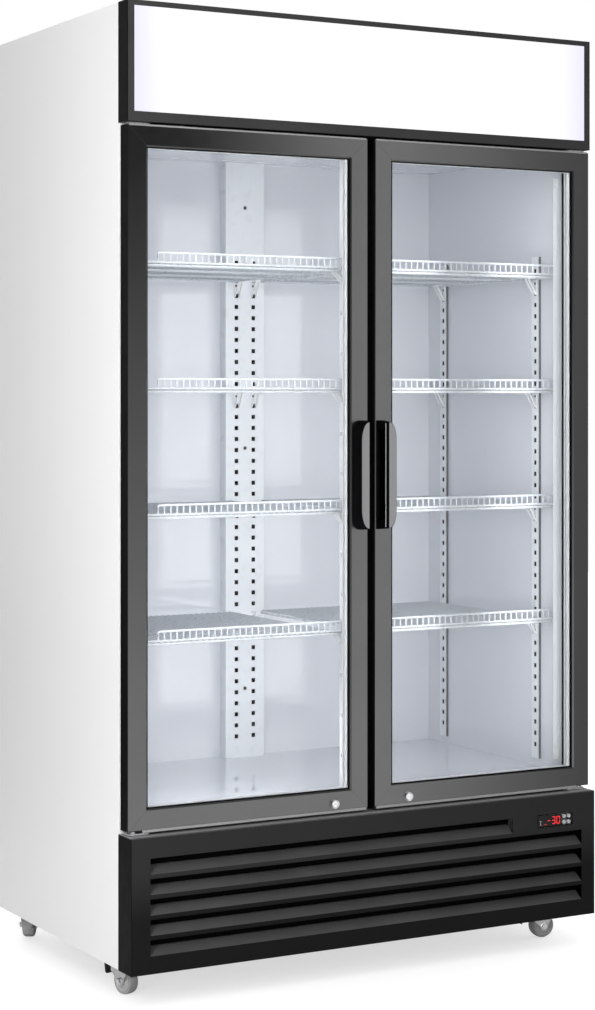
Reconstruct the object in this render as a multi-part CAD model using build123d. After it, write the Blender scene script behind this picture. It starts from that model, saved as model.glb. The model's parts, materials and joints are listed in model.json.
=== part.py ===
from build123d import *
from math import asin, cos, degrees, pi, radians, sin, sqrt
import os

# Upright display cooler: two glass doors, a lit header, wire shelves, a louvred base, four casters.
# Millimetres, +Z up, X to the right seen from the front, the front looks towards -Y.
# The origin is on the floor, under the middle of the overall box.

# Cabinet
cabinet_width = 1120
cabinet_depth = 640
cabinet_top = 1990
cabinet_bottom = 66
skin = 1.0
flange_front = 20
flange_rear = 16
side_wall = 40
back_wall = 85
top_wall = 45
bulkhead_wall = 45
chamber_floor = 372
deck_underside = 322
ceiling_height = 1744
doorway_top = 1712
frame_depth = 14
frame_lip = 2
fold_radius = 1

# Meeting beam between the doors
mullion_width = 56
mullion_depth = 44
mullion_wall = 2

# Doors
door_edge_gap = 16
door_bottom = 346
door_top = 1744
door_bar = 43
door_thickness = 34
door_standoff = 8
bar_edge_radius = 2.5
bar_bevel = 3
glass_lap = 10
glazing_thickness = 20
pane = 4
spacer_width = 8
gasket_width = 16
gasket_air = 0.3
gasket_inset = 4
gasket_hinge_inset = 18
gasket_meeting_inset = 3
gasket_lip = 2.5

# Hinges
hinge_inset = 17
hinge_pin_radius = 4
hinge_pin_length = 18
hinge_shoulder_radius = 7
bracket_sheet = 3
bracket_width = 48
bracket_drop = 38
bracket_reach = 36
bracket_offset = 5
bracket_corner = 8
running_clearance = 0.05
bracket_air_top = 2
bracket_air_bottom = 0.2

# Handles
handle_length = 228
handle_centre = 1042
handle_proud = 32
handle_width = 35
handle_from_edge = 4.5
handle_inner_slope = 10.5
handle_outer_slope = 4.5
handle_end_slope = 3
handle_wall = 7
handle_front_wall = 8
handle_corner_width = 17
handle_corner_rise = 40
handle_corner_steps = 6
finger_length = 190

# Locks
lock_offset = 90
lock_rise = 16
lock_radius = 8
lock_face_radius = 10.5
lock_face = 2.5
lock_bevel = 1.2
lock_depth = 26
key_slot_width = 1.6
key_slot_length = 9
tongue_bite = 3
tongue_width = 9
tongue_thick = 3
tongue_setback = 15
tongue_air = 1

# Header light box
header_bottom = 1750
header_depth = 45
cover_overhang = 1.5
cover_wall = 2
header_bar_top = 11
header_bar_bottom = 20
header_bar_side = 14.5
header_panel_sheet = 3
header_panel_lap = 5
reflector_sheet = 1.2
reflector_setback = 8
reflector_flange = 12
header_lamp_count = 3

# Base cover with louvres
base_cover_top = 336
base_cover_depth = 62
louvre_count = 5
louvre_pitch = 40.3
louvre_opening = 31.5
louvre_rise = 15
louvre_run = 24
louvre_sheet = 1.6
louvre_lip = 5
louvre_left_margin = 41.5
louvre_right_margin = 35.5
louvre_short_margin = 218.5
louvre_bottom_margin = 36

# Temperature controller
control_from_right = 106.5
control_from_top = 54
control_width = 98
control_height = 32
control_bezel = 2.5
control_corner = 3
control_body_depth = 55
control_body_inset = 3
control_body_inset_z = 1.5
display_width = 62
display_height = 24
display_recess = 1
button_radius = 4.5
button_pitch = 12.5
button_length = 6
button_proud = 1.6
button_from_right = 20.5
button_bevel = 0.8
button_travel = 1.5
button_clearance = 0.1

# Shelves
shelf_levels = 4
shelf_first = 711
slots_per_shelf = 3
shelf_side_gap = 1
shelf_mullion_gap = 4
shelf_front = 22
shelf_rear_gap = 3
shelf_rim = 6
wire = 3.6
wire_pitch = 36
cross_wire = 5
guard_height = 23
guard_short = 50
guard_depth = 4

# Shelf supports
slot_pitch = 85
slot_size = 8
standard_width = 26
standard_depth = 6
standard_sheet = 1.2
standard_bottom = 390
standard_length = 1130
standard_front = 99
standard_rear = 481
column_width = 100
column_depth = 28
column_slot_spacing = 44
clip_thick = 2
clip_width = 14
clip_reach = 22
clip_drop = 20
tab_air = 0.5

# Interior lamps
lamp_bottom = 400
lamp_top = 1690
lamp_width = 12
lamp_depth = 6
lamp_cap = 22
lens_bow = 1.5
header_lamp_depth = 3
header_lamp_width = 14

# Evaporator unit under the roof
evaporator_sheet = 1.5
evaporator_fan_radius = 95
evaporator_fan_from_front = 230
return_slot_count = 12
return_slot_width = 24
return_slot_length = 60
return_slot_inset = 70
fan_tip_air = 5
fan_axial_air = 3
fan_hub_radius = 24
fan_hub_height = 18
fan_blade = 1.6
fan_blade_width = 48
fan_blade_corner = 8
fan_blade_count = 5
fan_blade_degrees = 28
fan_shaft_radius = 3
fan_shaft_length = 12
motor_radius = 27
motor_height = 40
motor_bevel = 4
motor_arm = 8
motor_arm_lift = 8
motor_arm_count = 3
motor_arm_start_degrees = 90
guard_slot_count = 8
guard_slot_width = 14
coil_side_room = 70
coil_depth = 110
coil_height = 130
coil_from_front = 360
coil_groove = 8
coil_groove_depth = 77
coil_groove_count = 22

# Machine space
pan_sheet = 1.5
pan_flange = 25
condenser_x = -240
condenser_width = 360
condenser_height = 210
condenser_depth = 50
condenser_front = 20
condenser_groove_depth = 35
condenser_groove_count = 14
shroud_depth = 24
shroud_sheet = 1.5
condenser_fan_radius = 92
compressor_x = 230
compressor_y = 300
compressor_radius = 88
compressor_height = 150
compressor_dome = 26
compressor_foot = 220
compressor_foot_depth = 110
compressor_foot_sheet = 3
compressor_mount = 18
compressor_mount_radius = 9
compressor_mount_inset = 16
terminal_width = 54
terminal_height = 40
terminal_lift = 40
terminal_proud = 22
tray_x = -240
tray_y = 470
tray_length = 360
tray_width = 170
tray_height = 45
tray_wall = 2
tray_corner = 8
vent_columns = 4
vent_rows = 7
vent_length = 180
vent_height = 8
vent_pitch_z = 26

# Casters
caster_inset_x = 48
caster_front = 44
caster_rear = 590
caster_plate = 62
caster_plate_sheet = 3
caster_plate_corner = 6
caster_cap_radius = 22
wheel_radius = 27
wheel_width = 24
wheel_bevel = 3
wheel_dish = 3
wheel_rim = 6
wheel_hub_radius = 9
wheel_hub_proud = 1.2
axle_radius = 4
fork_sheet = 2.5
fork_gap = 1.6
fork_top = 2.5
caster_trail = 18
fork_leg_width = 20
axle_head_radius = 6.5
axle_head = 3
kingpin_radius = 5
brake_length = 32
brake_width = 22
brake_sheet = 2.5
brake_slope_degrees = 15
brake_travel_degrees = 12
brake_place_degrees = 45
brake_pin_radius = 2.5
brake_sleeve_radius = 4.5
brake_lug = 6
brake_shoe_length = 14
brake_wheel_air = 1.5
brake_locked_air = 0.3
caster_degrees = {"front_left": 103, "front_right": 170, "rear_left": 56, "rear_right": 40}

# Derived places
door_proud = door_standoff + door_thickness
handle_reach = door_proud + handle_proud
front = (handle_reach - cabinet_depth) / 2
back = front + cabinet_depth
half_width = cabinet_width / 2
cover_half = half_width + cover_overhang
inner_half = half_width - side_wall
chamber_front = front + frame_depth
chamber_back = back - back_wall
chamber_top = cabinet_top - top_wall
bulkhead_back = front + bulkhead_wall
back_skin = back - skin
fold_face = back_skin - skin
door_front = front - door_proud
door_back = front - door_standoff
hinge_x = half_width - hinge_inset
hinge_y = front - door_standoff - door_thickness / 2
shelf_outer = inner_half - standard_depth - shelf_side_gap
shelf_inner = mullion_width / 2 + shelf_mullion_gap
shelf_width = shelf_outer - shelf_inner
shelf_pitch = slots_per_shelf * slot_pitch
column_face = chamber_back - column_depth
shelf_depth = column_face - shelf_rear_gap - front - shelf_front
cover_front = front - base_cover_depth
header_face = front - header_depth
lock_height = door_bottom + lock_rise
tongue_length = lock_height - base_cover_top + tongue_bite
louvre_left = louvre_left_margin - cover_half
louvre_right = cover_half - louvre_right_margin
louvre_short_right = cover_half - louvre_short_margin
louvre_lowest = cabinet_bottom + louvre_bottom_margin
control_x = cover_half - control_from_right
control_z = base_cover_top - control_from_top


def block(x0, x1, y0, y1, z0, z1):
    """Box between two corners."""
    centre = ((x0 + x1) / 2, (y0 + y1) / 2, (z0 + z1) / 2)
    return Pos(*centre) * Box(abs(x1 - x0), abs(y1 - y0), abs(z1 - z0))


def rod(radius, length, place):
    """Round bar that starts at the place's origin and runs along its Z."""
    return place * Cylinder(radius, length, align=(Align.CENTER, Align.CENTER, Align.MIN))


def mirrored(shape):
    """The same piece on the other side of the cabinet."""
    return mirror(shape, about=Plane.YZ)


def prism_z(points, z0, z1):
    """Outline in X and Y, from one height to another."""
    face = make_face(Polyline(*points, close=True))
    return Pos(0, 0, z0) * extrude(face, z1 - z0)


def prism_x(points, x0, x1):
    """Outline in Y and Z, from one side to the other."""
    face = Plane.YZ.offset(x0) * make_face(Polyline(*points, close=True))
    return extrude(face, x1 - x0)


def prism_y(points, y0, y1):
    """Outline in X and Z, from the front backwards."""
    plane = Plane(origin=(0, y0, 0), x_dir=(1, 0, 0), z_dir=(0, -1, 0))
    face = plane * make_face(Polyline(*points, close=True))
    return extrude(face, -(y1 - y0))


def along_y(x, y, z):
    """Place at a point, with its Z pointing to the back."""
    return Pos(x, y, z) * Rot(-90, 0, 0)


def save(name, *solids):
    """Write one node as a STEP file."""
    flat = []
    for solid in solids:
        flat.extend(solid.solids())
    shape = flat[0] if len(flat) == 1 else Compound(children=flat)
    export_step(shape, f"parts/{name}.step")


# Cabinet pieces


def side_panel():
    """Left outer sheet with its folded front and rear edges."""
    x = -half_width
    outline = [
        (x, front),
        (x + flange_front, front),
        (x + flange_front, front + skin),
        (x + skin, front + skin),
        (x + skin, fold_face),
        (x + flange_rear, fold_face),
        (x + flange_rear, back_skin),
        (x, back_skin),
    ]
    panel = prism_z(outline, cabinet_bottom, cabinet_top)
    folds = panel.edges().filter_by(Axis.Z).group_by(Axis.X)[0]
    return fillet(folds, fold_radius)


def top_panel():
    """Roof sheet with folded edges that sit inside the side sheets."""
    x = half_width - skin
    z = cabinet_top
    outline = [
        (-x, z),
        (x, z),
        (x, z - flange_rear),
        (x - skin, z - flange_rear),
        (x - skin, z - skin),
        (-x + skin, z - skin),
        (-x + skin, z - flange_rear),
        (-x, z - flange_rear),
    ]
    return prism_y(outline, chamber_front, fold_face)


def back_panel():
    """Rear sheet, laid over the side sheets' rear folds."""
    x = half_width - fold_radius
    return block(-x, x, back_skin, back, deck_underside, cabinet_top)


def foam_insulation():
    """Foamed-in-place filling between the outer sheets and the liner."""
    x = half_width - 2 * skin
    body = block(-x, x, chamber_front, fold_face, deck_underside, cabinet_top - skin)
    x = half_width - flange_rear
    body += block(-x, x, fold_face, back_skin, deck_underside, cabinet_top - skin)
    hollow = inner_half + skin
    chamber = block(
        -hollow, hollow, bulkhead_back, chamber_back + skin, chamber_floor - skin, chamber_top + skin
    )
    doorway = block(
        -hollow, hollow, chamber_front, bulkhead_back, chamber_floor - skin, doorway_top + skin
    )
    return body - chamber - doorway


def liner():
    """Inner sheets: two sides, back, floor, roof, and the folded sheet over the doorway."""
    x, z0, z1 = inner_half, chamber_floor, chamber_top
    right = block(x, x + skin, chamber_front, chamber_back, z0 - skin, doorway_top + skin)
    right += block(x, x + skin, bulkhead_back, chamber_back, z0 - skin, z1 + skin)
    rear = block(-x - skin, x + skin, chamber_back, chamber_back + skin, z0 - skin, z1 + skin)
    floor = block(-x, x, chamber_front, chamber_back, z0 - skin, z0)
    roof = block(-x, x, bulkhead_back, chamber_back, z1, z1 + skin)
    lintel = block(-x, x, chamber_front, bulkhead_back + skin, doorway_top, doorway_top + skin)
    lintel += block(-x, x, bulkhead_back, bulkhead_back + skin, doorway_top, z1)
    return [right, mirrored(right), rear, floor, roof, lintel]


def front_frame():
    """Surround of the doorway, rebated for the side sheets' front folds."""
    x = half_width - skin
    ring = block(-x, x, front, chamber_front, deck_underside, cabinet_top)
    inner = inner_half - frame_lip
    ring -= block(-inner, inner, front, chamber_front, chamber_floor + frame_lip, doorway_top)
    edges = ring.edges().filter_by(Axis.Z).group_by(Axis.Y)[0]
    ring = fillet([e for e in edges if abs(e.center().X) < x - skin], frame_lip)
    for side in (-1, 1):
        inside = side * (half_width - flange_front)
        ring -= block(inside, side * half_width, front, front + skin, cabinet_bottom, cabinet_top)
    return ring


def centre_mullion():
    """Hollow meeting beam with a row of shelf slots in each side wall."""
    x, w = mullion_width / 2, mullion_wall
    z0, z1 = chamber_floor + frame_lip, doorway_top
    beam = block(-x, x, front, front + mullion_depth, z0, z1)
    edges = beam.edges().filter_by(Axis.Z).group_by(Axis.Y)[0]
    beam = fillet(edges, frame_lip)
    beam -= block(-x + w, x - w, front + w, front + mullion_depth, z0, z1)
    slot_y = front + mullion_depth - slot_size
    for z in slot_heights():
        beam -= block(-x, x, slot_y - slot_size / 2, slot_y + slot_size / 2, z, z + slot_size)
    return beam


def slot_heights():
    """Lower edges of the shelf slots, so that one lies behind every clip."""
    under_shelf = shelf_first - wire - clip_thick - slot_size
    below = int((under_shelf - standard_bottom) / slot_pitch)
    lowest = under_shelf - slot_pitch * below
    count = int((standard_bottom + standard_length - slot_size - lowest) / slot_pitch) + 1
    return [lowest + slot_pitch * i for i in range(count)]


def base_frame():
    """Base pan with turned-up edges, and the sheet under the insulated body."""
    x = half_width - skin - pan_sheet
    y0, y1 = front + pan_sheet, back - pan_flange
    pan = block(-x, x, y0, y1, cabinet_bottom, cabinet_bottom + pan_flange)
    x -= pan_sheet
    pan -= block(
        -x, x, y0 + pan_sheet, y1 - pan_sheet, cabinet_bottom + pan_sheet, cabinet_bottom + pan_flange
    )
    deck = block(-x, x, chamber_front, fold_face, deck_underside - skin, deck_underside)
    return [pan, deck]


def rear_cover():
    """Vented sheet over the back of the machine space."""
    x = half_width - fold_radius
    z0, z1 = cabinet_bottom, deck_underside - skin
    cover = block(-x, x, back_skin, back, z0, z1)
    pitch = 2 * x / vent_columns
    vents = []
    for column in range(vent_columns):
        cx = -x + pitch * (column + 0.5)
        for row in range(vent_rows):
            cz = (z0 + z1) / 2 + vent_pitch_z * (row - (vent_rows - 1) / 2)
            half = vent_length / 2
            vents.append(
                block(cx - half, cx + half, back_skin, back, cz, cz + vent_height)
            )
    return cover - vents


# Header light box


def header_frame():
    """Hollow surround of the light panel, open at the back."""
    x, z0, z1 = cover_half, header_bottom, cabinet_top
    body = block(-x, x, header_face, front, z0, z1)
    rims = body.edges().group_by(Axis.Y)[0]
    body = fillet(rims, cover_overhang)
    w = cover_wall
    body -= block(-x + w, x - w, header_face + w, front, z0 + w, z1 - w)
    window_x = x - header_bar_side
    body -= block(
        -window_x, window_x, header_face, front, z0 + header_bar_bottom, z1 - header_bar_top
    )
    for side in (-1, 1):
        body -= bracket_notch(side, z0, z0 + w)
    return body


def bracket_notch(side, z0, z1):
    """Cut that clears a hinge bracket's upright leaf."""
    inner = side * (bracket_inner_x() - cover_wall)
    outer = side * (bracket_inner_x() + bracket_width + cover_wall)
    return block(inner, outer, front - bracket_sheet - skin, front, z0, z1)


def header_panel():
    """Translucent light panel behind the surround."""
    x = cover_half - header_bar_side + header_panel_lap
    z0 = header_bottom + header_bar_bottom - header_panel_lap
    z1 = cabinet_top - header_bar_top + header_panel_lap
    y = header_face + cover_wall
    return block(-x, x, y, y + header_panel_sheet, z0, z1)


def header_reflector():
    """Tray behind the lamps, with edges turned towards the panel."""
    w = cover_wall
    x, z0, z1 = cover_half - w, header_bottom + w, cabinet_top - w
    y1 = front - reflector_setback
    tray = block(-x, x, y1 - reflector_flange, y1, z0, z1)
    t = reflector_sheet
    return tray - block(-x + t, x - t, y1 - reflector_flange, y1 - t, z0 + t, z1 - t)


def led_strips():
    """Three lamps in the header and one at each side of the doorway."""
    y1 = front - reflector_setback - reflector_sheet
    x = cover_half - header_bar_side
    span = cabinet_top - header_bottom
    solids = []
    for row in range(header_lamp_count):
        z = header_bottom + span * (row + 1) / (header_lamp_count + 1)
        half = header_lamp_width / 2
        solids.append(block(-x, x, y1 - header_lamp_depth, y1, z - half, z + half))
    lamp = door_lamp()
    return solids + [lamp, mirrored(lamp)]


def door_lamp():
    """Interior lamp at the right of the doorway: a bowed lens between two end caps."""
    x1 = inner_half
    x0 = x1 - lamp_width
    y0 = chamber_front
    y1 = y0 + lamp_depth
    bow = lens_bow
    lens = [
        (x1, y0),
        (x1, y1 - bow),
        (x0 + 2 * bow, y1 - bow),
        (x0 + bow, y1 - 2 * bow),
        (x0 + bow, y0),
    ]
    lamp = prism_z(lens, lamp_bottom + lamp_cap, lamp_top - lamp_cap)
    for z in (lamp_bottom, lamp_top - lamp_cap):
        lamp += block(x0, x1, y0, y1, z, z + lamp_cap)
    return lamp


# Base cover and controller


def front_grille():
    """Louvred cover of the machine space, folded on four sides and open at the back."""
    x, z0, z1, w = cover_half, cabinet_bottom, base_cover_top, cover_wall
    cover = block(-x, x, cover_front, front, z0, z1)
    rims = cover.edges().group_by(Axis.Y)[0]
    cover = fillet(rims, cover_overhang)
    cover -= block(-x + w, x - w, cover_front + w, front, z0 + w, z1 - w)
    for side in (-1, 1):
        cover -= bracket_notch(side, z1 - w, z1)
        cover -= tongue_slot(side, z1 - w, z1)
    hx, hz = control_body_half()
    cover -= block(
        control_x - hx, control_x + hx, cover_front, cover_front + w, control_z - hz, control_z + hz
    )
    for row in range(louvre_count):
        z = louvre_lowest + louvre_pitch * row
        right = louvre_short_right if row == louvre_count - 1 else louvre_right
        cover -= block(louvre_left, right, cover_front, cover_front + w, z, z + louvre_opening)
        cover += louvre(louvre_left, right, z)
    return cover


def louvre(left, right, z):
    """Blade that rises backwards from the lower edge of its opening, with a turned-down lip."""
    t = louvre_sheet
    y = cover_front
    outline = [
        (y, z - t),
        (y + cover_wall, z - t),
        (y + louvre_run, z + louvre_rise - t),
        (y + louvre_run + louvre_lip, z + louvre_rise - t),
        (y + louvre_run + louvre_lip, z + louvre_rise),
        (y + louvre_run - t, z + louvre_rise),
        (y + cover_wall - t, z),
        (y, z),
    ]
    return prism_x(outline, left, right)


def control_body_half():
    """Half width and half height of the controller's body behind its bezel."""
    return control_width / 2 - control_body_inset, control_height / 2 - control_body_inset_z


def button_places():
    """Centres of the four buttons in X and Z."""
    x = control_x + control_width / 2 - button_from_right
    places = []
    for row in (1, -1):
        for column in (-1, 1):
            places.append((x + column * button_pitch / 2, control_z + row * button_pitch / 2))
    return places


def controller():
    """Bezel with a display recess, and the body that clips through the base cover."""
    hw, hh = control_width / 2, control_height / 2
    y0 = cover_front - control_bezel
    bezel = block(control_x - hw, control_x + hw, y0, cover_front, control_z - hh, control_z + hh)
    bezel = fillet(bezel.edges().filter_by(Axis.Y), control_corner)
    hx, hz = control_body_half()
    c = button_clearance
    body = block(
        control_x - hx + c,
        control_x + hx - c,
        cover_front,
        cover_front + control_body_depth,
        control_z - hz + c,
        control_z + hz - c,
    )
    left = control_x - hw + control_body_inset
    window = block(
        left,
        left + display_width,
        y0,
        y0 + display_recess,
        control_z - display_height / 2,
        control_z + display_height / 2,
    )
    unit = bezel + body - window
    depth = button_length - button_proud + button_travel + button_clearance
    for x, z in button_places():
        unit -= rod(button_radius + button_clearance, depth, along_y(x, y0, z))
    return unit


def button(x, z):
    """Round push button with a bevelled edge."""
    y0 = cover_front - control_bezel - button_proud
    key = rod(button_radius, button_length, along_y(x, y0, z))
    return chamfer(key.edges().group_by(Axis.Y)[0], button_bevel)


# Doors


def mitred_bar(length, width, outline):
    """Bar along X with its outer edge down at Z 0, cut at 45 degrees at both ends."""
    bar = prism_x(outline, -length / 2, length / 2)
    half = length / 2
    keep = [(-half, 0), (half, 0), (half - width, width), (-half + width, width)]
    reach = cabinet_depth
    return bar & prism_y(keep, -reach, reach)


def mitred_ring(x0, x1, z0, z1, width, outline):
    """Four bars round a rectangle: bottom, top, left and right."""
    cx, cz = (x0 + x1) / 2, (z0 + z1) / 2
    across = mitred_bar(x1 - x0, width, outline)
    upright = mitred_bar(z1 - z0, width, outline)
    return [
        Pos(cx, 0, z0) * across,
        Pos(cx, 0, z1) * Rot(0, 180, 0) * across,
        Pos(x0, 0, cz) * Rot(0, 90, 0) * upright,
        Pos(x1, 0, cz) * Rot(0, -90, 0) * upright,
    ]


def door_bar_outline():
    """Section of a door bar in Y and Z: rounded outer edge, bevelled sight edge, glass groove."""
    y0, y1, b = door_front, door_back, door_bar
    groove0 = y0 + (door_thickness - glazing_thickness) / 2
    groove1 = groove0 + glazing_thickness
    r, v = bar_edge_radius, bar_bevel
    return [
        (y0 + r, 0),
        (y1, 0),
        (y1, b),
        (groove1, b),
        (groove1, b - glass_lap),
        (groove0, b - glass_lap),
        (groove0, b),
        (y0 + v, b),
        (y0, b - v),
        (y0, r),
        (y0 + r * (1 - cos(pi / 4)), r * (1 - sin(pi / 4))),
    ]


def door_frame():
    """Left door's four mitred bars, bored for the hinge pins and the lock."""
    x0, x1 = -half_width, -door_edge_gap / 2
    bars = mitred_ring(x0, x1, door_bottom, door_top, door_bar, door_bar_outline())
    bore = hinge_pin_radius + running_clearance
    depth = hinge_pin_length + 1
    pins = [
        rod(bore, depth, Pos(-hinge_x, hinge_y, door_bottom)),
        rod(bore, depth, Pos(-hinge_x, hinge_y, door_top - depth)),
    ]
    bars = [bar - pins for bar in bars]
    lock = rod(
        lock_radius + running_clearance,
        lock_depth + tongue_air,
        along_y(-lock_offset, door_front, lock_height),
    )
    bars[0] = bars[0] - lock - tongue_pocket()
    return bars


def tongue_y():
    """Middle of the lock tongue's thickness."""
    return door_front + tongue_setback + tongue_thick / 2


def tongue_pocket():
    """Room inside the bottom bar for the tongue's quarter turn, open underneath."""
    reach = tongue_length + tongue_air
    half = tongue_width / 2 + tongue_air
    y = tongue_y()
    t = tongue_thick / 2 + tongue_air
    x = -lock_offset
    return block(x - reach, x + half, y - t, y + t, door_bottom, lock_height + half)


def tongue_slot(side, z0, z1):
    """Slot in the base cover that the tongue's tip swings down into."""
    half = tongue_width / 2 + tongue_air
    tip = sqrt(tongue_length**2 + (tongue_width / 2) ** 2)
    reach = sqrt(tip**2 - (lock_height - z1) ** 2) + tongue_air
    y = tongue_y()
    t = tongue_thick / 2 + tongue_air
    x = side * lock_offset
    return block(x - side * half, x + side * reach, y - t, y + t, z0, z1)


def door_glass():
    """Two panes with a spacer between them, held in the bars' groove."""
    lap = door_bar - glass_lap
    x0, x1 = -half_width + lap, -door_edge_gap / 2 - lap
    z0, z1 = door_bottom + lap, door_top - lap
    y0 = door_front + (door_thickness - glazing_thickness) / 2
    y1 = y0 + glazing_thickness
    outer = block(x0, x1, y0, y0 + pane, z0, z1)
    inner = block(x0, x1, y1 - pane, y1, z0, z1)
    s = spacer_width
    spacer = block(x0, x1, y0 + pane, y1 - pane, z0, z1)
    spacer -= block(x0 + s, x1 - s, y0 + pane, y1 - pane, z0 + s, z1 - s)
    return [outer, inner, spacer]


def gasket_outline():
    """Section of the seal: a bellows with a narrow foot."""
    y0, y1, w = door_back, front - gasket_air, gasket_width
    mid, lip = (y0 + y1) / 2, gasket_lip
    return [(y0, lip), (mid, 0), (y1, 0), (y1, w), (mid, w), (y0, w - lip)]


def door_gasket():
    """Soft seal on the back of the left door."""
    x0 = -half_width + gasket_hinge_inset
    x1 = -door_edge_gap / 2 - gasket_meeting_inset
    z0, z1 = door_bottom + gasket_inset, door_top - gasket_inset
    return mitred_ring(x0, x1, z0, z1, gasket_width, gasket_outline())


def grip_outline(x0, x1, y, half):
    """Outline of the grip at one depth: straight at the meeting edge, with tall rounded corners opposite."""
    points = [(x1, half)]
    for i in range(handle_corner_steps + 1):
        turn = radians(90 * i / handle_corner_steps)
        across = handle_corner_width * (1 - sin(turn))
        points.append((x0 + across, half - handle_corner_rise * (1 - cos(turn))))
    points += [(x, -z) for x, z in reversed(points)]
    plane = Plane(origin=(0, y, handle_centre), x_dir=(1, 0, 0), z_dir=(0, -1, 0))
    return plane * make_face(Polyline(*points, close=True))


def door_handle():
    """Left door's grip: a hooked shell open towards the meeting edge."""
    x1 = -door_edge_gap / 2 - handle_from_edge
    x0 = x1 - handle_width
    half = handle_length / 2
    y0 = door_front - handle_proud
    foot = grip_outline(x0, x1, door_front, half)
    face = grip_outline(x0 + handle_outer_slope, x1 - handle_inner_slope, y0, half - handle_end_slope)
    grip = loft([foot, face])
    room = finger_length / 2
    grip -= block(
        x0 + handle_wall,
        x1,
        y0 + handle_front_wall,
        door_front,
        handle_centre - room,
        handle_centre + room,
    )
    return grip


def lock():
    """Lock plug with its face, key slot and tongue."""
    x, z = -lock_offset, lock_height
    face = rod(lock_face_radius, lock_face, along_y(x, door_front - lock_face, z))
    face = chamfer(face.edges().group_by(Axis.Y)[0], lock_bevel)
    plug = face + rod(lock_radius, lock_depth, along_y(x, door_front, z))
    y = tongue_y()
    t, w = tongue_thick / 2, tongue_width / 2
    plug += block(x - tongue_length, x, y - t, y + t, z - w, z + w)
    k, s = key_slot_width / 2, key_slot_length / 2
    return plug - block(x - k, x + k, door_front - lock_face, door_front, z - s, z + s)


# Hinges


def bracket_inner_x():
    """Distance from the middle of the cabinet to a bracket's inner edge."""
    return half_width - bracket_offset - bracket_width


def hinge_bracket(pin_z, leaf_z, upright_end, shoulder):
    """Left bracket: level leaf with a pin, and an upright leaf on the cabinet's front."""
    inner = -bracket_inner_x()
    outer = inner - bracket_width
    t = bracket_sheet
    leaf = block(outer, inner, front - bracket_reach, front, leaf_z, leaf_z + t)
    corner = leaf.edges().filter_by(Axis.Z).group_by(Axis.Y)[0]
    leaf = fillet(corner, bracket_corner)
    low, high = sorted((leaf_z, upright_end))
    if upright_end < leaf_z:
        high = leaf_z + t
    upright = block(outer, inner, front - t, front, low, high)
    low, high = sorted((pin_z, leaf_z))
    pin = rod(hinge_pin_radius, high - low, Pos(-hinge_x, hinge_y, low))
    bracket = leaf + upright + pin
    if shoulder > 0:
        bracket += rod(hinge_shoulder_radius, shoulder, Pos(-hinge_x, hinge_y, leaf_z + t))
    return bracket


def hinge_brackets():
    """Lower and upper brackets for both doors."""
    low_leaf = base_cover_top + frame_lip
    shoulder = door_bottom - low_leaf - bracket_sheet - bracket_air_bottom
    lower = hinge_bracket(
        door_bottom + hinge_pin_length, low_leaf, low_leaf - bracket_drop, shoulder
    )
    high_leaf = door_top + bracket_air_top
    upper = hinge_bracket(door_top - hinge_pin_length, high_leaf, high_leaf + bracket_drop, 0)
    return [lower, upper, mirrored(lower), mirrored(upper)]


# Shelves and what carries them


def shelf_deck():
    """Left shelf's grid: rim, wires from front to back and a cross wire under them."""
    x0, x1 = -shelf_outer, -shelf_inner
    y0 = front + shelf_front
    y1 = y0 + shelf_depth
    deck = block(x0, x1, y0, y1, -wire, 0)
    count = int((shelf_width - 2 * shelf_rim) / wire_pitch)
    gap = (shelf_width - 2 * shelf_rim - wire * (count - 1)) / count
    gaps = []
    for i in range(count):
        left = x0 + shelf_rim + i * (gap + wire)
        gaps.append(block(left, left + gap, y0 + shelf_rim, y1 - shelf_rim, -wire, 0))
    deck -= gaps
    mid = (y0 + y1) / 2
    half = cross_wire / 2
    return deck + block(x0, x1, mid - half, mid + half, -wire - cross_wire, -wire)


def shelf_guard():
    """Left shelf's front rail: short uprights under a top wire."""
    x0, x1 = -shelf_outer + guard_short, -shelf_inner
    y0 = front + shelf_front
    guard = block(x0, x1, y0, y0 + guard_depth, 0, guard_height)
    span = x1 - x0 - wire
    count = int(span / wire_pitch)
    gap = span / count - wire
    gaps = []
    for i in range(count):
        left = x0 + wire + i * (gap + wire)
        gaps.append(block(left, left + gap, y0, y0 + guard_depth, wire, guard_height - wire))
    return guard - gaps


def shelf_heights():
    """Top of each shelf's grid."""
    return [shelf_first + shelf_pitch * level for level in range(shelf_levels)]


def slotted_standard():
    """Right rear wall channel with its row of slots."""
    x1 = inner_half
    x0 = x1 - standard_depth
    t, w = standard_sheet, standard_width / 2
    y = front + standard_rear
    outline = [
        (x1, y - w),
        (x0, y - w),
        (x0, y + w),
        (x1, y + w),
        (x1, y + w - t),
        (x0 + t, y + w - t),
        (x0 + t, y - w + t),
        (x1, y - w + t),
    ]
    channel = prism_z(outline, standard_bottom, standard_bottom + standard_length)
    half = slot_size / 2
    slots = [block(x0, x0 + t, y - half, y + half, z, z + slot_size) for z in slot_heights()]
    return channel - slots


def shelf_standards():
    """Four wall channels and the wide column in the middle of the back."""
    rear = slotted_standard()
    ahead = Pos(0, standard_front - standard_rear, 0) * rear
    return [rear, ahead, mirrored(rear), mirrored(ahead), rear_column()]


def rear_column():
    """Folded column with two rows of slots."""
    x, t = column_width / 2, standard_sheet
    y0, y1 = column_face, chamber_back
    outline = [
        (-x, y1),
        (-x, y0),
        (x, y0),
        (x, y1),
        (x - t, y1),
        (x - t, y0 + t),
        (-x + t, y0 + t),
        (-x + t, y1),
    ]
    column = prism_z(outline, chamber_floor, ceiling_height)
    half = slot_size / 2
    slots = []
    for side in (-1, 1):
        sx = side * column_slot_spacing / 2
        for z in slot_heights():
            slots.append(block(sx - half, sx + half, y0, y0 + t, z, z + slot_size))
    return column - slots


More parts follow.
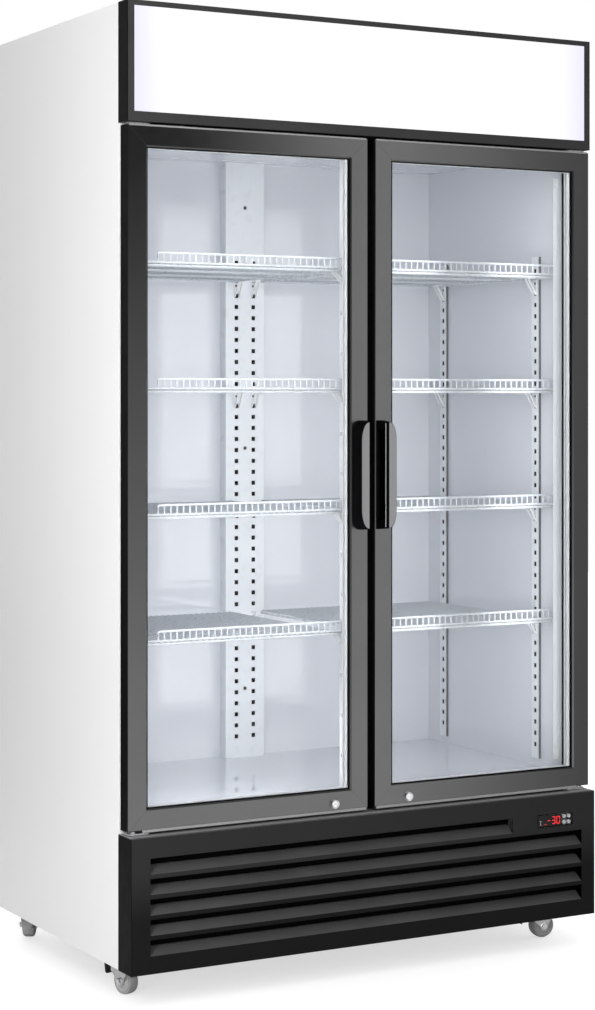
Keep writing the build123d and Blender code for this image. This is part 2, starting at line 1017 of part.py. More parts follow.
def clip(reach, tab):
    """Clip in its own frame: a seat along X, a brace, a foot on Z 0 down, and a tab behind the slot."""
    t, w = clip_thick, clip_width / 2
    outline = [(0, 0), (reach, 0), (reach, -t), (t, -clip_drop), (0, -clip_drop)]
    body = prism_y(outline, -w, w)
    half = slot_size / 2 - tab_air
    low = -clip_thick - slot_size
    return body + block(-tab, 0, -half, half, low, low + slot_size - tab_air)


def shelf_clips():
    """Four clips under every shelf, each hooked into its row of slots."""
    wall_x = inner_half - standard_depth
    side_clip = clip(clip_reach, standard_sheet + clip_thick / 2)
    beam_clip = clip(clip_reach, mullion_wall + clip_thick / 2)
    clips = []
    for z in shelf_heights():
        seat = z - wire
        for y in (front + standard_front, front + standard_rear):
            clips.append(Pos(-wall_x, y, seat) * side_clip)
        y = front + mullion_depth - slot_size
        clips.append(Pos(-mullion_width / 2, y, seat) * Rot(0, 0, 180) * beam_clip)
        x = -column_slot_spacing / 2
        clips.append(Pos(x, column_face, seat) * Rot(0, 0, -90) * side_clip)
    return clips + [mirrored(piece) for piece in clips]


# Evaporator unit


def fan_blades(radius):
    """Fan with pitched blades and a bored hub, turning about its own Z."""
    hub = rod(fan_hub_radius, fan_hub_height, Pos(0, 0, -fan_hub_height / 2))
    root = fan_hub_radius / 2
    shape = Pos((root + radius) / 2, 0) * Rectangle(radius - root, fan_blade_width)
    shape = shape & Circle(radius)
    shape = fillet(shape.vertices().group_by(Axis.X)[-1], fan_blade_corner)
    blade = extrude(shape, fan_blade / 2, both=True)
    blade = Rot(fan_blade_degrees, 0, 0) * blade
    fan = hub
    for i in range(fan_blade_count):
        fan += Rot(0, 0, 360 * i / fan_blade_count) * blade
    bore = fan_shaft_radius + running_clearance
    return fan - rod(bore, fan_shaft_length, Pos(0, 0, fan_hub_height / 2 - fan_shaft_length))


def fan_reach():
    """Half of the fan's height, at the tips of its pitched blades."""
    a = radians(fan_blade_degrees)
    return max(fan_hub_height / 2, fan_blade_width / 2 * sin(a) + fan_blade / 2 * cos(a))


def fan_base():
    """Where the motor and the mounting sheet lie, measured from the fan's middle."""
    return fan_reach() + fan_axial_air


def fan_unit(ring):
    """Fan motor with its shaft, three arms and the posts that stand on the fan's sheet."""
    base = fan_base()
    motor = rod(motor_radius, motor_height, Pos(0, 0, base))
    motor = chamfer(motor.edges().group_by(Axis.Z)[-1], motor_bevel)
    shaft_end = fan_hub_height / 2 - fan_shaft_length + running_clearance
    motor += rod(fan_shaft_radius, base - shaft_end, Pos(0, 0, shaft_end))
    half, low = motor_arm / 2, base + motor_arm_lift
    arm = block(0, ring, -half, half, low, low + motor_arm)
    arm += block(ring - motor_arm, ring, -half, half, -base, low + motor_arm)
    for i in range(motor_arm_count):
        motor += Rot(0, 0, motor_arm_start_degrees + 360 * i / motor_arm_count) * arm
    return motor


def fan_height():
    """Middle of the evaporator fan, just over the cover."""
    return ceiling_height + evaporator_sheet + fan_base()


def evaporator_cover():
    """Ceiling panel with a fan outlet and a row of return slots, and the fan motor over it."""
    t = evaporator_sheet
    y0, y1 = bulkhead_back + skin, chamber_back
    cover = block(-inner_half, inner_half, y0, y1, ceiling_height, ceiling_height + t)
    slots = []
    inner = fan_hub_radius
    outer = evaporator_fan_radius - fan_tip_air
    centre = Pos(0, front + evaporator_fan_from_front, ceiling_height)
    half = guard_slot_width / 2
    for i in range(guard_slot_count):
        slot = block(inner, outer, -half, half, 0, t)
        slots.append(centre * Rot(0, 0, 360 * i / guard_slot_count) * slot)
    pitch = 2 * inner_half / return_slot_count
    y2 = chamber_back - return_slot_inset
    for i in range(return_slot_count):
        x = -inner_half + pitch * (i + 0.5)
        half = return_slot_length / 2
        slots.append(
            block(x - half, x + half, y2, y2 + return_slot_width, ceiling_height, ceiling_height + t)
        )
    cover -= slots
    ring = evaporator_fan_radius + fan_tip_air + motor_arm
    place = Pos(0, front + evaporator_fan_from_front, fan_height())
    return [cover, place * fan_unit(ring)]


def finned_coil(width, depth, height, grooves, groove_depth):
    """Finned block with its grooves cut from the front, on a solid tube pack."""
    coil = block(-width / 2, width / 2, 0, depth, 0, height)
    pitch = width / grooves
    cuts = []
    for i in range(grooves):
        cx = -width / 2 + pitch * (i + 0.5)
        cuts.append(block(cx - coil_groove / 2, cx + coil_groove / 2, 0, groove_depth, 0, height))
    return coil - cuts


def evaporator_coil():
    """Cooling coil that hangs behind the fan."""
    width = 2 * (inner_half - coil_side_room)
    coil = finned_coil(width, coil_depth, coil_height, coil_groove_count, coil_groove_depth)
    return Pos(0, front + coil_from_front, chamber_top - coil_height) * coil


# Machine space


def condenser_coil():
    """Warm coil behind the louvres."""
    coil = finned_coil(
        condenser_width,
        condenser_depth,
        condenser_height,
        condenser_groove_count,
        condenser_groove_depth,
    )
    return Pos(condenser_x, front + condenser_front, cabinet_bottom + pan_sheet) * coil


def condenser_middle():
    """Centre of the condenser fan in X, Y and Z."""
    y = front + condenser_front + condenser_depth + shroud_depth
    z = cabinet_bottom + pan_sheet + condenser_height / 2
    return condenser_x, y, z


def condenser_shroud():
    """Air duct from the coil to the fan, and the fan's motor."""
    x, y1, z = condenser_middle()
    y0 = y1 - shroud_depth
    hw, hh, t = condenser_width / 2, condenser_height / 2, shroud_sheet
    duct = block(x - hw, x + hw, y0, y1, z - hh, z + hh)
    duct -= block(x - hw + t, x + hw - t, y0, y1 - t, z - hh + t, z + hh - t)
    hole = condenser_fan_radius + fan_tip_air
    duct -= rod(hole, t, along_y(x, y1 - t, z))
    return [duct, fan_place() * fan_unit(hole + motor_arm)]


def fan_place():
    """Condenser fan's place, with its Z pointing to the back."""
    x, y, z = condenser_middle()
    return along_y(x, y + fan_base(), z)


def compressor():
    """Welded shell on its foot plate, with four mounts and the terminal cover."""
    base = cabinet_bottom + pan_sheet
    x, y = compressor_x, front + compressor_y
    hx, hy = compressor_foot / 2, compressor_foot_depth / 2
    low = base + compressor_mount
    seat = low + compressor_foot_sheet
    unit = block(x - hx, x + hx, y - hy, y + hy, low, seat)
    shell = rod(compressor_radius, compressor_height, Pos(x, y, seat))
    unit += chamfer(shell.edges().filter_by(GeomType.CIRCLE), compressor_dome)
    half, lift = terminal_width / 2, seat + terminal_lift
    reach = compressor_radius + terminal_proud
    unit += block(x, x + reach, y - half, y + half, lift, lift + terminal_height)
    for i in (-1, 1):
        for j in (-1, 1):
            mx = x + i * (hx - compressor_mount_inset)
            my = y + j * (hy - compressor_mount_inset)
            unit += rod(compressor_mount_radius, compressor_mount, Pos(mx, my, base))
    return unit


def evaporation_tray():
    """Shallow tray that catches the defrost water."""
    x0, x1 = tray_x - tray_length / 2, tray_x + tray_length / 2
    y0, y1 = front + tray_y - tray_width / 2, front + tray_y + tray_width / 2
    z0 = cabinet_bottom + pan_sheet
    z1 = z0 + tray_height
    tray = block(x0, x1, y0, y1, z0, z1)
    tray = fillet(tray.edges().filter_by(Axis.Z), tray_corner)
    t = tray_wall
    room = block(x0 + t, x1 - t, y0 + t, y1 - t, z0 + t, z1)
    return tray - fillet(room.edges().filter_by(Axis.Z), tray_corner - t)


# Casters


def caster_places():
    """Swivel axis of each caster in X and Y."""
    x = half_width - caster_inset_x
    y0, y1 = front + caster_front, front + caster_rear
    return {
        "front_left": (-x, y0),
        "front_right": (x, y0),
        "rear_left": (-x, y1),
        "rear_right": (x, y1),
    }


def caster_plate_piece():
    """Top plate, its ball cup and the kingpin."""
    top = cabinet_bottom
    half = caster_plate / 2
    plate = block(-half, half, -half, half, top - caster_plate_sheet, top)
    plate = chamfer(plate.edges().filter_by(Axis.Z), caster_plate_corner)
    low = fork_crown() - fork_sheet
    cup_top = top - caster_plate_sheet
    cup = rod(caster_cap_radius, cup_top - fork_crown(), Pos(0, 0, fork_crown()))
    pin = rod(kingpin_radius, cup_top - low + fork_sheet / 2, Pos(0, 0, low - fork_sheet / 2))
    return plate + cup + pin


def fork_crown():
    """Top of the fork, just under the ball cup."""
    return 2 * wheel_radius + fork_top + fork_sheet


def caster_fork(braked):
    """Pressed fork with two legs, trailing along X, with its axle bolt; braked forks carry a pin."""
    half = wheel_width / 2 + fork_gap
    outer = half + fork_sheet
    crown = fork_crown()
    z0 = crown - fork_sheet
    knee = fork_leg_width / 2
    fork = rod(caster_cap_radius, fork_sheet, Pos(0, 0, z0))
    fork += block(-knee, caster_trail + knee, -outer, outer, z0, crown)
    pin_x, pin_z = brake_pin_place()
    if braked:
        shoulder = [(pin_x + brake_lug, crown), (pin_x + brake_lug, pin_z - brake_lug)]
    else:
        shoulder = [(caster_trail + knee, crown)]
    leg = shoulder + [
        (caster_trail + knee, wheel_radius),
        (caster_trail + knee / 2, wheel_radius - knee),
        (caster_trail - knee / 2, wheel_radius - knee),
        (caster_trail - knee, wheel_radius),
        (-knee, crown),
    ]
    for side in (-1, 1):
        y0, y1 = sorted((side * half, side * outer))
        fork += prism_y(leg, y0, y1)
    fork -= rod(kingpin_radius + running_clearance, fork_sheet, Pos(0, 0, z0))
    head = along_y(caster_trail, -outer - axle_head, wheel_radius)
    nut = along_y(caster_trail, outer, wheel_radius)
    fork += rod(axle_radius, 2 * outer, along_y(caster_trail, -outer, wheel_radius))
    fork += rod(axle_head_radius, axle_head, head)
    fork += extrude(nut * RegularPolygon(axle_head_radius, 6), axle_head)
    if braked:
        fork += rod(brake_pin_radius, 2 * outer, along_y(pin_x, -outer, pin_z))
    return fork


def caster_wheel():
    """Wheel with a bevelled tread, dished faces and a bored hub."""
    r, w = wheel_radius, wheel_width / 2
    section = [
        (axle_radius + running_clearance, w + wheel_hub_proud),
        (wheel_hub_radius, w + wheel_hub_proud),
        (r - wheel_rim, w - wheel_dish),
        (r - wheel_bevel, w),
        (r, w - wheel_bevel),
    ]
    ring = section + [(a, -b) for a, b in reversed(section)]
    face = Plane.XZ * make_face(Polyline(*ring, close=True))
    wheel = revolve(face, Axis.Z)
    return Pos(caster_trail, 0, wheel_radius) * Rot(90, 0, 0) * wheel


def caster_brake():
    """Pedal on the fork's cross pin: a tread to step on, and a shoe that swings onto the wheel."""
    ear = wheel_width / 2 + fork_gap - running_clearance
    x, z = brake_pin_place()
    pedal = rod(brake_sleeve_radius, 2 * ear, along_y(x, -ear, z))
    t, w = brake_sheet / 2, brake_width / 2
    tread = block(0, brake_length, -w, w, -t, t)
    tread = fillet(tread.edges().filter_by(Axis.Z).group_by(Axis.X)[-1], w / 2)
    shoe = block(0, brake_shoe_length, -w, w, -t, t)
    pin = Pos(x, 0, z)
    pedal += pin * Rot(0, -brake_slope_degrees, 0) * tread
    pedal += pin * Rot(0, -brake_shoe_slope(), 0) * shoe
    return pedal - rod(brake_pin_radius + running_clearance, 2 * ear, along_y(x, -ear, z))


def brake_distance():
    """From the wheel's middle to the brake's cross pin."""
    return wheel_radius + brake_wheel_air + brake_sleeve_radius


def brake_pin_place():
    """Middle of the brake's cross pin in the fork's own X and Z, up and behind the wheel."""
    a, reach = radians(brake_place_degrees), brake_distance()
    return caster_trail + reach * cos(a), wheel_radius + reach * sin(a)


def brake_shoe_slope():
    """Shoe's slope at rest, so that it ends just off the tread when the pedal is down."""
    reach = wheel_radius + brake_locked_air + brake_sheet / 2
    back_to_wheel = brake_place_degrees - 180
    return degrees(asin(reach / brake_distance())) + back_to_wheel + brake_travel_degrees


def build():
    """Write every node."""
    os.makedirs("parts", exist_ok=True)
    left = side_panel()
    save("side_panel_left", left)
    save("side_panel_right", mirrored(left))
    save("top_panel", top_panel())
    save("back_panel", back_panel())
    save("foam_insulation", foam_insulation())
    save("liner", *liner())
    save("front_frame", front_frame())
    save("centre_mullion", centre_mullion())
    save("base_frame", *base_frame())
    save("rear_cover", rear_cover())
    save("header_frame", header_frame())
    save("header_panel", header_panel())
    save("header_reflector", header_reflector())
    save("led_strips", *led_strips())
    save("front_grille", front_grille())
    save("hinge_brackets", *hinge_brackets())
    save("controller", controller())
    for i, (x, z) in enumerate(button_places()):
        save(f"button_{i + 1}", button(x, z))
    for name, piece in (
        ("door_frame", door_frame()),
        ("door_glass", door_glass()),
        ("door_gasket", door_gasket()),
        ("handle", [door_handle()]),
        ("lock", [lock()]),
    ):
        save(f"{name}_left", *piece)
        save(f"{name}_right", *[mirrored(solid) for solid in piece])
    deck, guard = shelf_deck(), shelf_guard()
    shift = shelf_outer + shelf_inner
    for level, z in enumerate(shelf_heights(), start=1):
        save(f"shelf_left_{level}", Pos(0, 0, z) * deck, Pos(0, 0, z) * guard)
        save(f"shelf_right_{level}", Pos(shift, 0, z) * deck, Pos(shift, 0, z) * guard)
    save("shelf_standards", *shelf_standards())
    save("shelf_clips", *shelf_clips())
    save("evaporator_cover", *evaporator_cover())
    save("evaporator_coil", evaporator_coil())
    fan = Pos(0, front + evaporator_fan_from_front, fan_height()) * fan_blades(evaporator_fan_radius)
    save("evaporator_fan", fan)
    save("condenser_coil", condenser_coil())
    save("condenser_shroud", *condenser_shroud())
    save("condenser_fan", fan_place() * fan_blades(condenser_fan_radius))
    save("compressor", compressor())
    save("evaporation_tray", evaporation_tray())
    plate = caster_plate_piece()
    plates = []
    for name, (x, y) in caster_places().items():
        plates.append(Pos(x, y, 0) * plate)
        place = Pos(x, y, 0) * Rot(0, 0, caster_degrees[name])
        braked = name.startswith("front")
        save(f"caster_fork_{name}", place * caster_fork(braked))
        save(f"caster_wheel_{name}", place * caster_wheel())
        if braked:
            save(f"caster_brake_{name}", place * caster_brake())
    save("caster_plates", *plates)


build()
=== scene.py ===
import json
from math import cos, pi, radians, sin

import bmesh
import bpy
from mathutils import Matrix, Vector

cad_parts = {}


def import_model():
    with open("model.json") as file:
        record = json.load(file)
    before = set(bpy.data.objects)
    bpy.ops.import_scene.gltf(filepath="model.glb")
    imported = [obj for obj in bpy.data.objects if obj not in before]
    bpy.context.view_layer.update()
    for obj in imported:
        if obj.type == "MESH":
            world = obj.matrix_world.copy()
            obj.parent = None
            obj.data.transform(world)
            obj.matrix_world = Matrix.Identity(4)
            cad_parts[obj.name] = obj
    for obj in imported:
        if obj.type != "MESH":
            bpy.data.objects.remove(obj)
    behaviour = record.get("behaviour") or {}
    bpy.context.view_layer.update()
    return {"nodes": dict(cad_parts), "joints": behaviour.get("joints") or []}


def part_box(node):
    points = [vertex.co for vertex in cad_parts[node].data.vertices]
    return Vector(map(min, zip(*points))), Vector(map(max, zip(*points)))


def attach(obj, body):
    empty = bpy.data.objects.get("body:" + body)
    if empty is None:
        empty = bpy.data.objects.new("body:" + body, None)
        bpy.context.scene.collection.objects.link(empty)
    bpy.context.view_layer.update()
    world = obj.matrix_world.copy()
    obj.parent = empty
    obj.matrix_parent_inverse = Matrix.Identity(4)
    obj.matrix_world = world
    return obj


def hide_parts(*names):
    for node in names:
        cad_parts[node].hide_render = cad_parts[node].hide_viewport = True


# Looks of an upright display cooler with two glass doors, in metres, in the CAD frame.
# +Z is up, +X is to the right seen from the front, and the doors face -Y.

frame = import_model()

# Camera: level, at the photograph's viewing angle
camera_place = (-2.4293, -4.3679, 1.2119)
camera_yaw_degrees = -29.12
camera_lens = 80.34
camera_shift_y = -0.1103

# Light
world_light = 0.48
mirrored_room = 0.1
mirrored_floor = 0.1
left_lamp_power = 0.29
right_strip_power = 0.70
guard_lamp_power = 0.05
front_light_power = 55
left_light_power = 46
top_light_power = 26
right_light_power = 50
back_light_power = 70
floor_glow = 1.45
wall_card_strength = 5.4

# Sizes that the looks add to the CAD model
slot_pitch = 0.0254
slot_half = 0.0048
sheet = 0.0012
wire_radius = 0.0016
rim_radius = 0.0027
guard_radius = 0.0024
bar_radius = 0.0016
guard_pitch = 0.0143
deck_pitch = 0.0143
guard_height = 0.023
column_slots = (0.405, 1.54)
guard_short = 0.05
clip_drop = 0.038
seat_below = 0.0036
channel_face = 0.520
channel_places = {"front": -0.184, "rear": 0.198}
column_face = 0.244
door_bar = 0.043
door_bevel = 0.003
grip_taper = 0.0105

# How meshes and shaders are finished
edge_round = 0.0004
panel_round = 0.0005
smooth_degrees = 35
bevel_degrees = 40
noise_range = (0.3, 0.7)

left, right = -1, 1
sides = ((left, "left"), (right, "right"))
caster_places = ("front_left", "front_right", "rear_left", "rear_right")
forwards = (0, -1, 0)
upwards = (0, 0, 1)


# Mesh code


def turned(profile, centre, axis, segments):
    """Circles round an axis: one for each pair of radius and distance along it."""
    turn = Vector((0, 0, 1)).rotation_difference(Vector(axis)).to_matrix()
    angles = [2 * pi * i / segments for i in range(segments)]
    circles = []
    for radius, reach in profile:
        spots = [Vector((radius * cos(a), radius * sin(a), reach)) for a in angles]
        circles.append([Vector(centre) + turn @ spot for spot in spots])
    return circles


class Shape:
    """A mesh under construction, whose faces get the material number that was last named."""

    def __init__(self):
        self.bm = bmesh.new()
        self.number = 0

    def paint(self, number):
        self.number = number
        return self

    def face(self, corners):
        made = self.bm.faces.new(corners)
        made.material_index = self.number
        return made

    def closed(self, rings):
        """Skin over rings of points, with a flat end on the first and the last."""
        loops = [[self.bm.verts.new(point) for point in ring] for ring in rings]
        count = len(loops[0])
        self.face(loops[0][::-1])
        self.face(loops[-1])
        for low, high in zip(loops, loops[1:]):
            for i in range(count):
                j = (i + 1) % count
                self.face([low[i], low[j], high[j], high[i]])

    def box(self, x, y, z):
        """Block between the two values of each pair."""
        (x0, x1), (y0, y1), (z0, z1) = sorted(x), sorted(y), sorted(z)
        base = [(x0, y0), (x1, y0), (x1, y1), (x0, y1)]
        self.closed([[(a, b, c) for a, b in base] for c in (z0, z1)])

    def prism(self, outline, axis, ends):
        """Outline in the two other axes, in their order, drawn out along an axis."""
        place = {
            "x": lambda a, b, t: (t, a, b),
            "y": lambda a, b, t: (a, t, b),
            "z": lambda a, b, t: (a, b, t),
        }[axis]
        self.closed([[place(a, b, t) for a, b in outline] for t in ends])

    def torus(self, rings):
        """Skin over rings of points that comes back to the first one."""
        loops = [[self.bm.verts.new(point) for point in ring] for ring in rings]
        for a, b in zip(loops, loops[1:] + loops[:1]):
            for k in range(len(a)):
                n = (k + 1) % len(a)
                self.face([a[k], b[k], b[n], a[n]])

    def lathe(self, profile, centre, axis, segments=32):
        """Turned form: pairs of radius and distance along the axis, with closed ends."""
        self.closed(turned(profile, centre, axis, segments))

    def tyre(self, profile, centre, axis, segments=40):
        """Turned ring whose closed profile stays off the axis."""
        self.torus(list(zip(*turned(profile, centre, axis, segments))))

    def wire(self, points, radius, sides=8, ring=False):
        """Round wire through points, closed on itself where it is a ring."""
        points = [Vector(p) for p in points]
        count = len(points)
        rings = []
        for i, p in enumerate(points):
            before = points[i - 1] if ring or i else points[0]
            after = points[(i + 1) % count] if ring or i < count - 1 else points[-1]
            along = (after - before).normalized()
            side = along.cross(Vector((0, 0, 1)))
            if side.length < 0.01:
                side = along.cross(Vector((0, 1, 0)))
            side.normalize()
            up = side.cross(along)
            turns = [2 * pi * k / sides for k in range(sides)]
            rings.append([p + radius * (cos(a) * side + sin(a) * up) for a in turns])
        if ring:
            self.torus(rings)
        else:
            self.closed(rings)

    def sheet(self, grid, thick, hole):
        """Sheet over a grid of points, without the cells that hole(i, k) names."""
        grid = [[self.bm.verts.new(point) for point in row] for row in grid]
        before = set(self.bm.faces)
        for i in range(len(grid) - 1):
            for k in range(len(grid[0]) - 1):
                if not hole(i, k):
                    self.face([grid[i][k], grid[i + 1][k], grid[i + 1][k + 1], grid[i][k + 1]])
        loose = [v for row in grid for v in row if not v.link_faces]
        bmesh.ops.delete(self.bm, geom=loose, context="VERTS")
        self.thicken(set(self.bm.faces) - before, thick)

    def upright(self, path, heights, thick, hole):
        """Upright folded sheet along a path in X and Y."""
        self.sheet([[(x, y, z) for z in heights] for x, y in path], thick, hole)

    def rim(self, x, y, z, wide):
        """Rectangular ring of four bars, seen along Y."""
        (x0, x1), (z0, z1) = x, z
        self.box((x0, x0 + wide), y, z)
        self.box((x1 - wide, x1), y, z)
        self.box((x0 + wide, x1 - wide), y, (z0, z0 + wide))
        self.box((x0 + wide, x1 - wide), y, (z1 - wide, z1))

    def thicken(self, faces, thick):
        """Give faces of a sheet their back and edges, away from their normals."""
        bmesh.ops.recalc_face_normals(self.bm, faces=list(faces))
        bmesh.ops.solidify(self.bm, geom=list(faces), thickness=thick)

    def move(self, matrix, since=()):
        """Move everything, apart from the points in since."""
        keep = set(since)
        moved = [v for v in self.bm.verts if v not in keep]
        bmesh.ops.transform(self.bm, matrix=matrix, verts=moved)

    def plain(self, name, flip=False):
        """Finish the mesh as an object, mirrored to the other side of the cabinet if asked."""
        if flip:
            bmesh.ops.scale(self.bm, vec=(-1, 1, 1), verts=self.bm.verts)
        bmesh.ops.recalc_face_normals(self.bm, faces=self.bm.faces)
        mesh = bpy.data.meshes.new(name)
        self.bm.to_mesh(mesh)
        self.bm.free()
        obj = bpy.data.objects.new(name, mesh)
        bpy.context.scene.collection.objects.link(obj)
        return obj

    def piece(self, name, materials, stands_for=(), body="cabinet", flip=False, bevel=0, smooth=True):
        """Finish the mesh as one named piece that rides on a CAD body."""
        obj = self.plain(name, flip)
        mesh = obj.data
        for made in materials:
            mesh.materials.append(made)
        if smooth:
            mesh.shade_smooth()
            mesh.set_sharp_from_angle(angle=radians(smooth_degrees))
        if bevel:
            soften(obj, bevel)
        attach(obj, body)
        if stands_for:
            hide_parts(*stands_for)
        return obj

    def on_door(self, name, made, slot, word, stands_for=(), bevel=0):
        """Finish a piece of the left door, or its mirror image on the right door."""
        named = [f"{node}_{word}" for node in stands_for]
        flip = word == "right"
        return self.piece(f"{name}_{word}", [made], named, f"door_{word}", flip, bevel)


def soften(obj, width, weld=False):
    """Round the sharp edges a little, so that they catch the light."""
    if weld:
        obj.modifiers.new("weld", "WELD").merge_threshold = 0.00001
    bevel = obj.modifiers.new("bevel", "BEVEL")
    bevel.width = width
    bevel.segments = 2
    bevel.limit_method = "ANGLE"
    bevel.angle_limit = radians(bevel_degrees)
    bevel.harden_normals = True


# Shader nodes


def feed(tree, socket, value):
    """Give a socket a value, or link it to another node's output."""
    if isinstance(value, bpy.types.NodeSocket):
        tree.links.new(value, socket)
    else:
        socket.default_value = value


def add(tree, kind, **inputs):
    """New shader node and some of its inputs, whose names have _ for a space."""
    made = tree.nodes.new(f"ShaderNode{kind}")
    for name, value in inputs.items():
        feed(tree, made.inputs[name.replace("_", " ")], value)
    return made


def combined(tree, operation, *values):
    """Result of a math node over values and outputs."""
    made = tree.nodes.new("ShaderNodeMath")
    made.operation = operation
    for socket, value in zip(made.inputs, values):
        feed(tree, socket, value)
    return made.outputs["Value"]


def placed(tree, source="Object"):
    """Place on the piece in metres, or with Normal the way that its surface faces."""
    return add(tree, "TexCoord").outputs[source]


def coordinate(tree, axis, source="Object"):
    """One coordinate of the place or of the direction."""
    return add(tree, "SeparateXYZ", Vector=placed(tree, source)).outputs[axis]


def noise(tree, scale, stretch=(1, 1, 1)):
    """Noise in the piece's own coordinates."""
    spot = add(tree, "Mapping", Vector=placed(tree), Scale=stretch).outputs["Vector"]
    return add(tree, "TexNoise", Vector=spot, Scale=scale, Detail=3, Roughness=0.5).outputs["Fac"]


def ramp(tree, value, ends, results, smooth=False):
    """Value carried over from one range to another, without leaving it."""
    (low, high), (first, last) = ends, results
    made = add(tree, "MapRange", Value=value, From_Min=low, From_Max=high, To_Min=first, To_Max=last)
    if smooth:
        made.interpolation_type = "SMOOTHSTEP"
    return made.outputs["Result"]


def spread(tree, value, low, high):
    """Noise, or another value from 0 to 1, as one from low to high."""
    return ramp(tree, value, noise_range, (low, high))


def blended(tree, value, dark, light, ends=noise_range):
    """Colour between two, by a value from 0 to 1."""
    made = add(tree, "ValToRGB", Fac=value)
    for stop, position, colour in zip(made.color_ramp.elements, ends, (dark, light)):
        stop.position = position
        stop.color = (*colour, 1)
    return made.outputs["Color"]


def mixed(tree, share, first, second):
    """Colour between two outputs or colours."""
    made = tree.nodes.new("ShaderNodeMix")
    made.data_type = "RGBA"
    for name, value in (("Factor", share), ("A", first), ("B", second)):
        feed(tree, made.inputs[name], value)
    return made.outputs["Result"]


def uneven(tree, value, colour, less, more=None):
    """The colour, which a value from 0 to 1 takes from darker to lighter by a share."""
    dark, light = (tuple(min(1, c * (1 + share)) for c in colour) for share in (-less, more or less))
    return blended(tree, value, dark, light)


def new_tree(name):
    """Empty node material and its tree."""
    made = bpy.data.materials.new(name)
    made.use_nodes = True
    return made, made.node_tree


def surface(tree, **inputs):
    """Set some inputs of the surface shader."""
    shader = tree.nodes["Principled BSDF"]
    for name, value in inputs.items():
        feed(tree, shader.inputs[name.replace("_", " ")], value)


def relief(tree, grain, depth, strength=0.6, stretch=(1, 1, 1)):
    """Give the surface a fine relief, depth in metres."""
    bump = add(tree, "Bump", Height=noise(tree, grain, stretch), Distance=depth, Strength=strength)
    surface(tree, Normal=bump.outputs["Normal"])


# Kinds of surface


def finish(
    name,
    colour,
    rough,
    metallic=0,
    tint=0.04,
    tint_scale=6,
    rough_tint=0.05,
    grain=900,
    depth=0.00004,
    stretch=(1, 1, 1),
    strength=0.5,
    specular=0.5,
    coat=0,
):
    """Solid surface: uneven tone, uneven gloss and a fine relief."""
    made, tree = new_tree(name)
    gloss = noise(tree, tint_scale * 5, stretch)
    surface(
        tree,
        Base_Color=uneven(tree, noise(tree, tint_scale, stretch), colour, tint),
        Roughness=spread(tree, gloss, rough - rough_tint, rough + rough_tint),
        Metallic=metallic,
        Specular_IOR_Level=specular,
        Coat_Weight=coat,
        Coat_Roughness=0.1,
    )
    relief(tree, grain, depth, strength, stretch)
    return made


def smoother_floor(made, share):
    """Lower the roughness to a share of itself where the surface faces up."""
    tree = made.node_tree
    rough = tree.nodes["Principled BSDF"].inputs["Roughness"].links[0].from_socket
    facing = ramp(tree, coordinate(tree, "Z", "Normal"), (0.5, 1), (1, share))
    surface(tree, Roughness=combined(tree, "MULTIPLY", rough, facing))


def painted_shade_on_sides(made, tone):
    """Painted shade: take the colour down to a dark tone where the surface faces sideways."""
    tree = made.node_tree
    colour = tree.nodes["Principled BSDF"].inputs["Base Color"].links[0].from_socket
    sideways = spread(tree, combined(tree, "ABSOLUTE", coordinate(tree, "X", "Normal")), 0, 1)
    surface(tree, Base_Color=mixed(tree, sideways, colour, (tone, tone, tone, 1)))


def spangled(name, colour):
    """Galvanised sheet with its crystal pattern."""
    made, tree = new_tree(name)
    cells = add(tree, "TexVoronoi", Vector=placed(tree), Scale=90).outputs["Color"]
    chance = add(tree, "SeparateColor", Color=cells).outputs
    surface(
        tree,
        Base_Color=uneven(tree, chance["Red"], colour, 0.12, 0.08),
        Roughness=spread(tree, chance["Green"], 0.32, 0.5),
        Metallic=0.5,
    )
    relief(tree, 400, 0.00003)
    return made


def clear_glass(name):
    """Clear pane with the faintest unevenness in its gloss."""
    made, tree = new_tree(name)
    rough = spread(tree, noise(tree, 14), 0.0, 0.012)
    surface(tree, Base_Color=(0.985, 0.988, 0.988, 1), Transmission_Weight=1, IOR=1.15, Roughness=rough)
    return made


def glowing(name, colour, edge_colour, x_edge, fade):
    """Lit sheet whose colour changes over its last stretch towards both ends."""
    made, tree = new_tree(name)
    across = combined(tree, "ABSOLUTE", coordinate(tree, "X"))
    reach = ramp(tree, across, (x_edge - fade, x_edge), (0, 1))
    surface(
        tree,
        Emission_Color=blended(tree, reach, colour, edge_colour, (0, 1)),
        Emission_Strength=1,
        Base_Color=(0.03, 0.03, 0.03, 1),
        Roughness=spread(tree, noise(tree, 30), 0.25, 0.35),
    )
    return made


def lit(name, colour, strength):
    """Small self-lit piece, such as a segment of the display."""
    made, tree = new_tree(name)
    glow = uneven(tree, noise(tree, 60), colour, 0.05)
    surface(tree, Emission_Color=glow, Emission_Strength=strength, Base_Color=(*colour, 1), Roughness=0.4)
    return made


def painted_light_strip(name, near, far, ends):
    """Strip with painted shade and light: its tone changes from its front edge to its back."""
    made, tree = new_tree(name)
    depth = ramp(tree, coordinate(tree, "Y"), ends, (0, 1))
    surface(
        tree,
        Base_Color=blended(tree, depth, near, far),
        Roughness=spread(tree, noise(tree, 60), 0.34, 0.46),
    )
    relief(tree, 900, 0.00003, 0.3)
    return made


